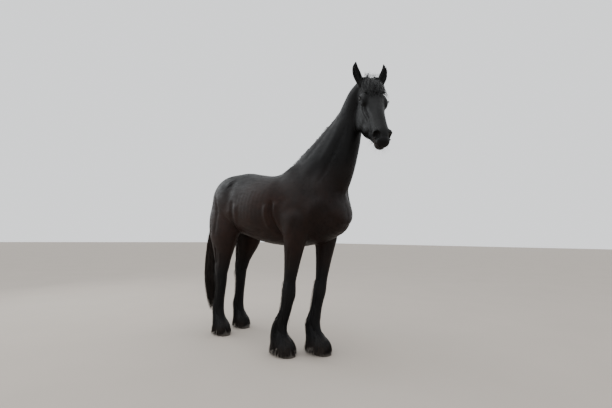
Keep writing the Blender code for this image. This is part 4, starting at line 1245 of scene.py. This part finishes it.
def waves(count, rings, size, turns, dice, groups=None):
    """Slow side-to-side waves that start at nothing at the root: s*sin(2 pi turns s + phase)."""
    s = np.linspace(0, 1, rings)
    phase, size = dice.uniform(0, 2*np.pi, (2, count)), size*dice.uniform(.4, 1.3, (2, count))
    if groups is not None:
        shared = dice.uniform(0, 2*np.pi, (2, groups.max() + 1))
        phase = shared[:, groups] + .5*phase/np.pi
    often = turns*dice.uniform(.7, 1.3, (2, count))
    return [(size[i][:, None]*s*np.sin(2*np.pi*often[i][:, None]*s + phase[i][:, None])) for i in (0, 1)]


# %% The tail
# The tail hangs from the dock behind the hind legs: locks gather in strands and end at many heights.
tail_tube = tube([(x, y, z, a, b, b, 2, 2) for x, y, z, a, b in TAIL], up=(-1, 0, 0), samples=100)
TAIL_LOCKS, TAIL_RINGS, TAIL_STRANDS = 2100, 15, 26
TAIL_SHORT, STRAND_REACH = .45, 1.04                 # share of locks that end early, outermost place of a strand


def tail_piece(name, seed):
    """Locks from the dock down: centre line + half widths * a place in the unit disc that shifts to its strand's."""
    dice = np.random.default_rng(seed)
    angle, radius = dice.uniform(0, 2*np.pi, TAIL_LOCKS), np.sqrt(dice.uniform(.05, 1, TAIL_LOCKS))
    start = np.stack([np.cos(angle), np.sin(angle)], 1)*radius[:, None]
    strands = dice.normal(0, .75, (TAIL_STRANDS, 2))
    strands /= np.maximum(np.linalg.norm(strands, axis=1), STRAND_REACH)[:, None]/STRAND_REACH
    own = np.argmin(((start[:, None]*.95 - strands)**2).sum(2), 1)
    s = np.linspace(0, 1, TAIL_RINGS)
    first = dice.uniform(.0, .24, TAIL_LOCKS)**1.2
    last = np.where(dice.random(TAIL_LOCKS) < TAIL_SHORT, dice.uniform(.55, .9, TAIL_LOCKS),
                    dice.uniform(.86, 1.0, TAIL_LOCKS))
    at = first[:, None] + (last - first)[:, None]*s
    i = at*(len(tail_tube["c"]) - 1)
    low = np.minimum(i.astype(int), len(tail_tube["c"]) - 2)
    m = (i - low)[..., None]
    centre = tail_tube["c"][low]*(1 - m) + tail_tube["c"][low + 1]*m
    size = tail_tube["size"][low]*(1 - m) + tail_tube["size"][low + 1]*m
    pull = (ease(s*1.1)*.90)[None, :, None]
    spot_at = start[:, None]*(1 - pull)*(.55 + .45*ease(s*2.5))[None, :, None] + strands[own][:, None]*pull
    sway, surge = waves(TAIL_LOCKS, TAIL_RINGS, .012, 1.5, dice, own)
    points = (centre + (spot_at[..., 0]*size[..., 0]*.93 + sway)[..., None]*np.array([0, 1, 0])
              + (spot_at[..., 1]*size[..., 1]*.93 + surge)[..., None]*np.array([-1, 0, 0]))
    width = dice.uniform(.0016, .0040, TAIL_LOCKS)[:, None]*taper(TAIL_RINGS, .8)
    turned = dice.uniform(0, np.pi, TAIL_LOCKS)
    across = np.stack([np.cos(turned), np.sin(turned), 0*turned], 1)[:, None]
    faded = dice.uniform(.15, .75, TAIL_LOCKS)[:, None]*(.55 + .45*s)
    return lock_mesh(name, points, width, width*HAIR_FLATNESS, across, sand=faded, seed=seed)


for label, seed in (("a", 1), ("b", 2)):
    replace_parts(tail_piece("tail_hair_" + label, seed), "tail")


# %% The mane
# It falls from the crest over the neck's left side; only the roots rise above the crest.
MANE_LOCKS, MANE_RINGS = 2500, 10
dice = np.random.default_rng(11)
at = dice.uniform(.10, .97, MANE_LOCKS)*(len(neck_tube["c"]) - 1)
near = at.astype(int)
angle = np.radians(dice.normal(97, 5, MANE_LOCKS))
c, u, v, size = (neck_tube[key][near] for key in ("c", "u", "v", "size"))
roots = c + (size[:, 0]*np.cos(angle))[:, None]*u + (size[:, 1]*np.sin(angle))[:, None]*v
roots += (at - near)[:, None]*(neck_tube["c"][np.minimum(near + 1, len(neck_tube["c"]) - 1)] - c)
MANE_CLUMPS = 60
clump = (at/len(neck_tube["c"])*MANE_CLUMPS).astype(int)
lean = dice.normal(0, .22, MANE_CLUMPS + 1)[clump] + dice.normal(0, .06, MANE_LOCKS)


def mane_heading(p, s):
    """To the left at the root, then down with a slight swing."""
    left = np.array([0.0, 1, .25])*(1 - ease(s*2.2)) + np.array([0.0, .12, -1])*ease(s*2.2)
    return left + lean[:, None]*np.array([1.0, 0, 0])


length = dice.uniform(.12, .25, MANE_LOCKS)*np.interp(at/at.max(), [0, .12, .8, 1], [.5, 1, 1, .6])
rise = dice.uniform(.25, 1, MANE_LOCKS)[:, None]*np.array([-.3, .40, .85, 1, 1, .95, .85, .75, .6, .4])*.017
paths = comb(roots, mane_heading, MANE_RINGS - 1, length, rise)
width = dice.uniform(.0016, .0036, MANE_LOCKS)[:, None]*taper(MANE_RINGS, .7)
mane = lock_mesh("mane_hair", paths, width, width*HAIR_FLATNESS, slope(closed_shapes, roots)[:, None] + 1e-3, seed=3)
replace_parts(mane, "mane")

# %% The forelock
# A bushy cap over the forehead: it starts behind the ears and falls to both sides of the brow.
FORELOCK_LOCKS, FORELOCK_RINGS = 1500, 10
dice = np.random.default_rng(21)
u, v = dice.uniform(-.055, .045, FORELOCK_LOCKS), dice.uniform(-1, 1, FORELOCK_LOCKS)
roots = on_head(np.stack([u, v*.044, np.full(FORELOCK_LOCKS, .0)], 1))
turn_out = v*.26 + dice.normal(0, .30, FORELOCK_LOCKS)


def forelock_heading(p, s):
    """Towards the muzzle, spreading to the side that the lock is on."""
    return HEAD_NOSE + (turn_out*(1.0 - 0.8*s))[:, None]*HEAD_SIDE


length = dice.uniform(.08, .245, FORELOCK_LOCKS)*(1 - .35*ease((np.abs(v) - .5)/.5))
rise = dice.uniform(.15, 1, FORELOCK_LOCKS)[:, None]*np.array([-.15, .45, .85, 1, 1, .90, .76, .60, .45, .25])*.036
paths = comb(roots, forelock_heading, FORELOCK_RINGS - 1, length, rise)
sway, surge = waves(FORELOCK_LOCKS, FORELOCK_RINGS, .011, 1.7, dice)
paths = paths + sway[..., None]*HEAD_SIDE + .4*np.abs(surge)[..., None]*HEAD_UP
width = dice.uniform(.0012, .0028, FORELOCK_LOCKS)[:, None]*taper(FORELOCK_RINGS, .7)
forelock = lock_mesh("forelock_hair", paths, width, width*HAIR_FLATNESS, HEAD_SIDE, seed=4)
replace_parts(forelock, "forelock")

# %% Wisps between the ears
WISPS, WISP_RINGS = 80, 8
dice = np.random.default_rng(22)
roots = np.stack([dice.uniform(-.05, .0, WISPS), dice.uniform(-.048, .048, WISPS), np.full(WISPS, .0)], 1)
s = np.linspace(0, 1, WISP_RINGS)
up = dice.uniform(.020, .050, WISPS)[:, None]
fall, side = dice.uniform(-.01, .05, WISPS)[:, None], dice.normal(0, .022, WISPS)[:, None]
points = np.stack([roots[:, :1] + fall*s**2, roots[:, 1:2] + side*s**1.5, roots[:, 2:] + up*np.sin(s*1.75)], 2)
width = np.full((WISPS, 1), .0008)*taper(WISP_RINGS)
lock_mesh("poll_wisps", on_head(points), width, width*.5, HEAD_SIDE, seed=5)

# %% The feathers
# Long hair grows from the back of the cannon down and all round the pastern, and hides the hoof.
# Each lock runs from the leg's surface to a bell that spreads over the hoof.
BELL = [(.36, -.004, .46, .42, .44), (.26, -.004, .57, .52, .56), (.17, -.012, .68, .64, .70),
        (.085, -.016, .90, .92, .88), (.015, -.014, 1, 1, 1)]       # height, shift, half width, front, back
FEATHER = {"front": (.100, .140), "hind": (.086, .118)}             # width and back at the foot
FEATHER_LOCKS, FEATHER_RINGS, FEATHER_CLUMPS = 1700, 9, 46
BEHIND, BEHIND_SHARE = -np.pi/2, .38                 # bearing of the leg's back edge, share of locks that grow there
FOOT_HEIGHT = .085
LEGS = (("front", fore_tube), ("hind", hind_tube))


def column(t, z):
    """Centre, half width, front and back of a leg's tube at given heights."""
    order = np.argsort(t["c"][:, 2])
    table = np.concatenate([t["c"], t["size"]], 1)[order]
    return np.stack([np.interp(z, table[:, 2], table[:, k]) for k in (0, 1, 3, 4, 5)], -1)


def feather(name, leg, wide, back, seed):
    """Locks about one leg: (1 - f)*leg surface + f*bell at the same bearing, with f growing to the tip."""
    dice = np.random.default_rng(seed)
    n = FEATHER_LOCKS
    bearing = np.where(dice.random(n) < BEHIND_SHARE, dice.normal(BEHIND, .55, n), dice.uniform(-np.pi, np.pi, n))
    behind = .5 - .5*np.sin(bearing)
    high = .105 + behind**1.5*dice.uniform(.0, .25, n) + dice.uniform(0, .055, n)
    low = np.maximum(high - dice.uniform(.11, .24, n), dice.uniform(.003, .020, n))
    low = np.where((behind > .6) & (dice.random(n) < .55), dice.uniform(.003, .010, n), low)
    s = np.linspace(0, 1, FEATHER_RINGS)
    z = high[:, None] + (low - high)[:, None]*(s - .10*np.sin(np.pi*s))
    clumps = np.linspace(-np.pi, np.pi, FEATHER_CLUMPS, endpoint=False) + dice.normal(0, .06, FEATHER_CLUMPS)
    own = np.argmin(np.abs(np.angle(np.exp(1j*(bearing[:, None] - clumps)))), 1)
    gather = np.angle(np.exp(1j*(clumps[own] - bearing)))
    phi = bearing[:, None] + gather[:, None]*(.75 - .35*behind[:, None])*s**1.5
    shift, bell_side, bell_front, bell_back = at_heights(BELL, z)
    inner = column(leg, z)
    foot = column(leg, np.array([FOOT_HEIGHT]))[0]
    layer = dice.uniform(.55, 1.05, n)[:, None]
    f = ease(s*1.25)[None]*(layer + (np.maximum(layer, .93) - layer)*ease((.15 - z)/.05))
    c, q = np.cos(phi), np.sin(phi)
    leg_x = inner[..., 0] + q*np.where(q > 0, inner[..., 3], inner[..., 4])*.93
    leg_y = inner[..., 1] + c*inner[..., 2]*.93
    centre_x = np.where(z < FOOT_HEIGHT, foot[0], inner[..., 0]) + shift
    centre_y = np.where(z < FOOT_HEIGHT, foot[1], inner[..., 1])
    bell_x = centre_x + q*np.where(q > 0, bell_front*wide, bell_back*back)
    bell_y = centre_y + c*bell_side*wide
    sway, surge = waves(n, FEATHER_RINGS, .007, 1.2, dice, own)
    x = leg_x*(1 - f) + bell_x*f + surge*np.abs(q)
    y = leg_y*(1 - f) + bell_y*f + sway
    points = np.stack([x, y, np.maximum(z, .003)], 2)
    width = dice.uniform(.0015, .0036, n)[:, None]*taper(FEATHER_RINGS, .6)
    across = np.stack([-np.sin(bearing), np.cos(bearing), 0*bearing], 1)[:, None]
    sand = ease((s - .30)/.60)[None]*fade(z, .17, .05)*dice.uniform(.0, 1.0, n)[:, None]
    return lock_mesh(name, points, width, width*.45, across, sand=sand, seed=seed)


for s, side in SIDES:
    for label, tubes in LEGS:
        piece = feather("feather_hair_%s_%s" % (label, side), tubes[s], *FEATHER[label], 30 + s)
        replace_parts(piece, "feather_%s_%s" % (label, side))

# %% [markdown]
# ## Tufts of the short coat
# The short coat is mostly bump, but hair ends break the outline everywhere: along the belly and the
# jaw, inside the ears, and behind knees and cannons. Thousands of short tufts lie along the body,
# each combed over the skin the way the hair grows there: back along the trunk, down the neck and
# legs, towards the muzzle on the head.

# %% Roots spread over the skin
def scatter(count, weight, seed):
    """Random points on the skin's quads, chosen in proportion to area * weight(centre)."""
    dice = np.random.default_rng(seed)
    a, b, c, d = (skin_points[skin_quads[:, k]] for k in range(4))
    area = np.linalg.norm(np.cross(c - a, d - b), axis=1)
    share = area*np.maximum(weight((a + b + c + d)/4), 0)
    quad = dice.choice(len(skin_quads), count, p=share/share.sum())
    x, y = dice.random((2, count))[:, :, None]
    return (a[quad]*(1 - x) + b[quad]*x)*(1 - y) + (d[quad]*(1 - x) + c[quad]*x)*y, dice


def grain(p):
    """The way the coat lies at each point of the body."""
    z = p[:, 2:3]
    body = np.array([-1.0, 0, -.42])
    neck = np.array([-.52, 0, -.85])
    leg = np.array([-.12, 0, -1.0])
    on_neck = fade(p[:, 0] + .55*p[:, 2], 1.12, 1.42)[:, None]
    on_leg = fade(z, 1.08, .88)
    on_face = (fade(p[:, 2], 1.55, 1.66)*fade(p[:, 0], 0.80, 0.90))[:, None]
    d = body*(1 - on_neck) + neck*on_neck
    d = d*(1 - on_leg) + leg*on_leg
    return d*(1 - on_face) + HEAD_NOSE*on_face


BODY_TUFTS, FACE_TUFTS, FRINGE_TUFTS = 7600, 4800, 1500


def coat_tufts(name, count, weight, reach, broad, lift, seed, stand=None):
    """Short tufts combed along the grain; stand adds a direction that lifts their tips off the skin."""
    roots, dice = scatter(count, weight, seed)
    turn_by = dice.normal(0, .16, (count, 3))
    length = dice.uniform(*reach, count)
    ends = np.array([-1.0, .35, .8, 1.0])
    rise = dice.uniform(.3, 1, count)[:, None]*ends*lift
    rise[:, 0] = -.0015
    heading = lambda p, s: grain(p) + turn_by + (0 if stand is None else stand(p)*s)
    paths = comb(roots, heading, len(ends) - 1, length, rise)
    width = dice.uniform(.7, 1.2, count)[:, None]*taper(len(ends), .7)*broad
    across = np.cross(grain(roots), slope(closed_shapes, roots))[:, None] + 1e-4
    return lock_mesh(name, paths, width, width*.16, across, seed=seed, look=coat_look)


def everywhere(p):
    """All over but the face."""
    return 1 - fade(p[:, 2], 1.50, 1.58)*fade(p[:, 0], .76, .86)


coat = [coat_tufts("coat_tufts_" + label, BODY_TUFTS, everywhere, (.018, .036), .0009, .0007, seed)
        for label, seed in (("a", 41), ("b", 42))]


def on_face_only(p):
    """The face and ears, where tufts are smallest."""
    on = in_head(p)
    return fade(p[:, 2], 1.55, 1.62)*fade(p[:, 0], .80, .90)*fade(on[:, 0], .60, .50)


coat.append(coat_tufts("face_tufts", FACE_TUFTS, on_face_only, (.006, .014), .00042, .0003, 43))


def fringe(p):
    """The belly line and the underside of the jaw; elsewhere next to none."""
    on = in_head(p)
    belly = fade(p[:, 2], 1.02, .93)*(np.abs(p[:, 1]) < .2)*(p[:, 0] > -.45)*(p[:, 0] < .62)
    jaw = fade(on[:, 2], -.10, -.17)*(on[:, 0] > .02)*(on[:, 0] < .52)*(p[:, 2] > 1.5)
    return belly*.8 + jaw*2.5 + 1e-6


coat.append(coat_tufts("fringe_tufts", FRINGE_TUFTS, fringe, (.020, .042), .0011, .009, 44,
                       stand=lambda p: np.array([-.3, 0, -.5])))

# %% Longer hair down the back of each leg
BEHIND_LOCKS, BEHIND_RINGS = 760, 6
for s, side in SIDES:
    for label, tubes in LEGS:
        dice = np.random.default_rng(50 + s + (label == "hind"))
        z = dice.uniform(.24, .60, BEHIND_LOCKS)
        inner = column(tubes[s], z)
        phi = dice.normal(BEHIND, .75, BEHIND_LOCKS)
        roots = np.stack([inner[:, 0] + np.sin(phi)*inner[:, 4], inner[:, 1] + np.cos(phi)*inner[:, 2], z], 1)
        length = dice.uniform(.03, .085, BEHIND_LOCKS)
        t = np.linspace(0, 1, BEHIND_RINGS)
        outward = np.stack([np.sin(phi), np.cos(phi)*.8, 0*phi], 1)
        lift = dice.uniform(.003, .026, BEHIND_LOCKS)*fade(np.abs(phi - BEHIND), 1.8, .2)
        points = (roots[:, None] - .005*outward[:, None] + outward[:, None]*(lift[:, None]*np.sin(t*2.2))[..., None]
                  - (length[:, None]*t)[..., None]*np.array([0, 0, 1]))
        width = dice.uniform(.0009, .0019, BEHIND_LOCKS)[:, None]*taper(BEHIND_RINGS, .7)
        coat.append(lock_mesh("leg_hair_%s_%s" % (label, side), points, width, width*.4,
                              np.stack([-np.cos(phi), np.sin(phi), 0*phi], 1)[:, None], seed=60 + s))

# %% Hair in the ears, whiskers and lashes
EAR_HAIRS, WHISKERS, LASHES = 260, 70, 64
EAR_RINGS, WHISKER_RINGS, LASH_RINGS = 5, 7, 6
ear_at, ear_out, ear_half, _ = np.array(EAR).T
for s, side in SIDES:
    dice = np.random.default_rng(70 + s)
    q, edge = dice.uniform(.16, .80, EAR_HAIRS), dice.choice([-1.0, 1.0], EAR_HAIRS)
    half = np.interp(q, ear_at, ear_half)
    middle = np.array([ear_point(s, one, np.interp(one, ear_at, ear_out)) for one in q])
    front = ear_front(s)
    roots = middle + front*.010 + np.array([0, 1.0, 0])*(edge*half*.72)[:, None]
    length = dice.uniform(.010, .026, EAR_HAIRS)
    t = np.linspace(0, 1, EAR_RINGS)
    go = unit(front*.6 + np.array([-.5, 0, .3]) - np.array([0, 1.0, 0])*(edge*.8)[:, None]
              + dice.normal(0, .25, (EAR_HAIRS, 3)))
    points = on_head(roots[:, None] + go[:, None]*(length[:, None]*t)[..., None])
    width = dice.uniform(.0005, .0009, EAR_HAIRS)[:, None]*taper(EAR_RINGS)
    coat.append(lock_mesh("ear_hair_" + side, points, width, width*.5, HEAD_NOSE, seed=72 + s))

    gaze, along, up = eye_axes(s)
    theta = np.radians(dice.uniform(15, 165, LASHES))
    x, y = almond(theta, 1.07)
    flat = x[:, None]*along + y[:, None]*up
    root = eye_centre(s) + flat + gaze*np.sqrt(np.maximum(EYE_R**2 - x**2 - y**2, 5e-5))[:, None]*1.08
    out = unit(gaze + up*.25 + flat*18 + dice.normal(0, .12, (LASHES, 3)))
    length = dice.uniform(.012, .022, LASHES)[:, None, None]
    t = np.linspace(0, 1, LASH_RINGS)[None, :, None]
    points = on_head(root[:, None] + out[:, None]*length*t - up*length*.35*t**2 - gaze*length*.25*t**2)
    width = np.full((LASHES, 1), .00040)*taper(LASH_RINGS)
    coat.append(lock_mesh("lashes_" + side, points, width, width*.7, HEAD_NOSE, seed=74 + s))

dice = np.random.default_rng(80)
roots = np.stack([dice.uniform(.53, .64, WHISKERS), dice.uniform(-.04, .04, WHISKERS),
                  dice.uniform(-.15, -.10, WHISKERS)], 1)
roots = onto(closed_shapes, on_head(roots), SKIN_DEPTH, 8, .03)
out = unit(slope(closed_shapes, roots) + HEAD_NOSE*.3 + dice.normal(0, .15, (WHISKERS, 3)))
length = dice.uniform(.018, .050, WHISKERS)[:, None, None]
t = np.linspace(0, 1, WHISKER_RINGS)[None, :, None]
points = roots[:, None] + out[:, None]*length*t - np.array([0, 0, 1])*length*.3*t**2
width = np.full((WHISKERS, 1), .00038)*taper(WHISKER_RINGS)
coat.append(lock_mesh("whiskers", points, width, width*.8, HEAD_SIDE, seed=81))
faces = sum(len(piece.data.polygons) for piece in bpy.data.objects if piece.type == "MESH")
print(len(coat), "pieces of short hair;", faces, "faces in all")

# %% [markdown]
# ## Floor, light and camera
# The horse stands on a plain pale floor under a soft, clouded sky. A wide sheet is enough: its far
# edge melts into the pale world. Three broad lamps, one high, a weak one beside the viewer and one
# behind the horse, stand in for a bright sky with no sun, so that the black coat shows its form by
# long soft highlights.

# %% Floor
FLOOR_SIZE = 120
bpy.ops.mesh.primitive_grid_add(x_subdivisions=2, y_subdivisions=2, size=FLOOR_SIZE)
floor = bpy.context.object
floor.name = "floor"
floor_look, tree, shader, place = material("pale_floor", Roughness=0.85, Specular_IOR_Level=0.2)
tree.links.new(blend(tree, noise(tree, place, 1.3, 4.0), (.42, .375, .33), (.47, .42, .37)),
               shader.inputs["Base Color"])
floor.data.materials.append(floor_look)

# %% Sky
SKY_COLOUR, SKY_STRENGTH = (0.82, 0.835, 0.85, 1), 1.55
world = bpy.data.worlds.new("cloudy sky")
bpy.context.scene.world = world
world.use_nodes = True
sky = world.node_tree.nodes["Background"]
sky.inputs["Color"].default_value = SKY_COLOUR
sky.inputs["Strength"].default_value = SKY_STRENGTH

# %% Lamps
def lamp(name, place, aim, size, power, colour=(1, 1, 1)):
    """A square area lamp that looks at a point."""
    data = bpy.data.lights.new(name, "AREA")
    data.size, data.energy, data.color = size, power, colour
    holder = bpy.data.objects.new(name, data)
    holder.location = place
    holder.rotation_euler = (Vector(aim) - Vector(place)).to_track_quat("-Z", "Y").to_euler()
    bpy.context.scene.collection.objects.link(holder)


# name, place, aim, size in metres, power in watts, colour
lamp("sky_light", (-0.5, -1.5, 6.0), (0, 0, 1.1), 5.0, 120, (0.95, 0.98, 1.0))
lamp("near_light", (3.4, -4.2, 3.2), (0.1, 0, 1.2), 3.0, 10)
lamp("rim_light", (-4.5, -1.0, 3.2), (-0.4, 0, 1.2), 3.0, 70, (0.92, 0.97, 1.0))

# %% Camera
CAMERA_AT = np.array([2.2448, -2.1515, 0.9293]) + SHIFT
YAW, PITCH, ROLL = 2.29359, 0.1027, 0.012            # radians: heading, upward look, lean
LENS, SENSOR = 19.87, 36.0                           # millimetres
look = Vector((math.cos(YAW)*math.cos(PITCH), math.sin(YAW)*math.cos(PITCH), math.sin(PITCH)))
right = Vector((math.sin(YAW), -math.cos(YAW), 0))
over = right.cross(look)
camera_data = bpy.data.cameras.new("camera")
camera_data.lens, camera_data.sensor_width = LENS, SENSOR
camera = bpy.data.objects.new("camera", camera_data)
bpy.context.scene.collection.objects.link(camera)
across, upward = right*math.cos(ROLL) + over*math.sin(ROLL), over*math.cos(ROLL) - right*math.sin(ROLL)
turned = np.column_stack([across, upward, -look])
camera.matrix_world = Matrix([[*turned[i], CAMERA_AT[i]] for i in range(3)] + [[0, 0, 0, 1]])
bpy.context.scene.camera = camera
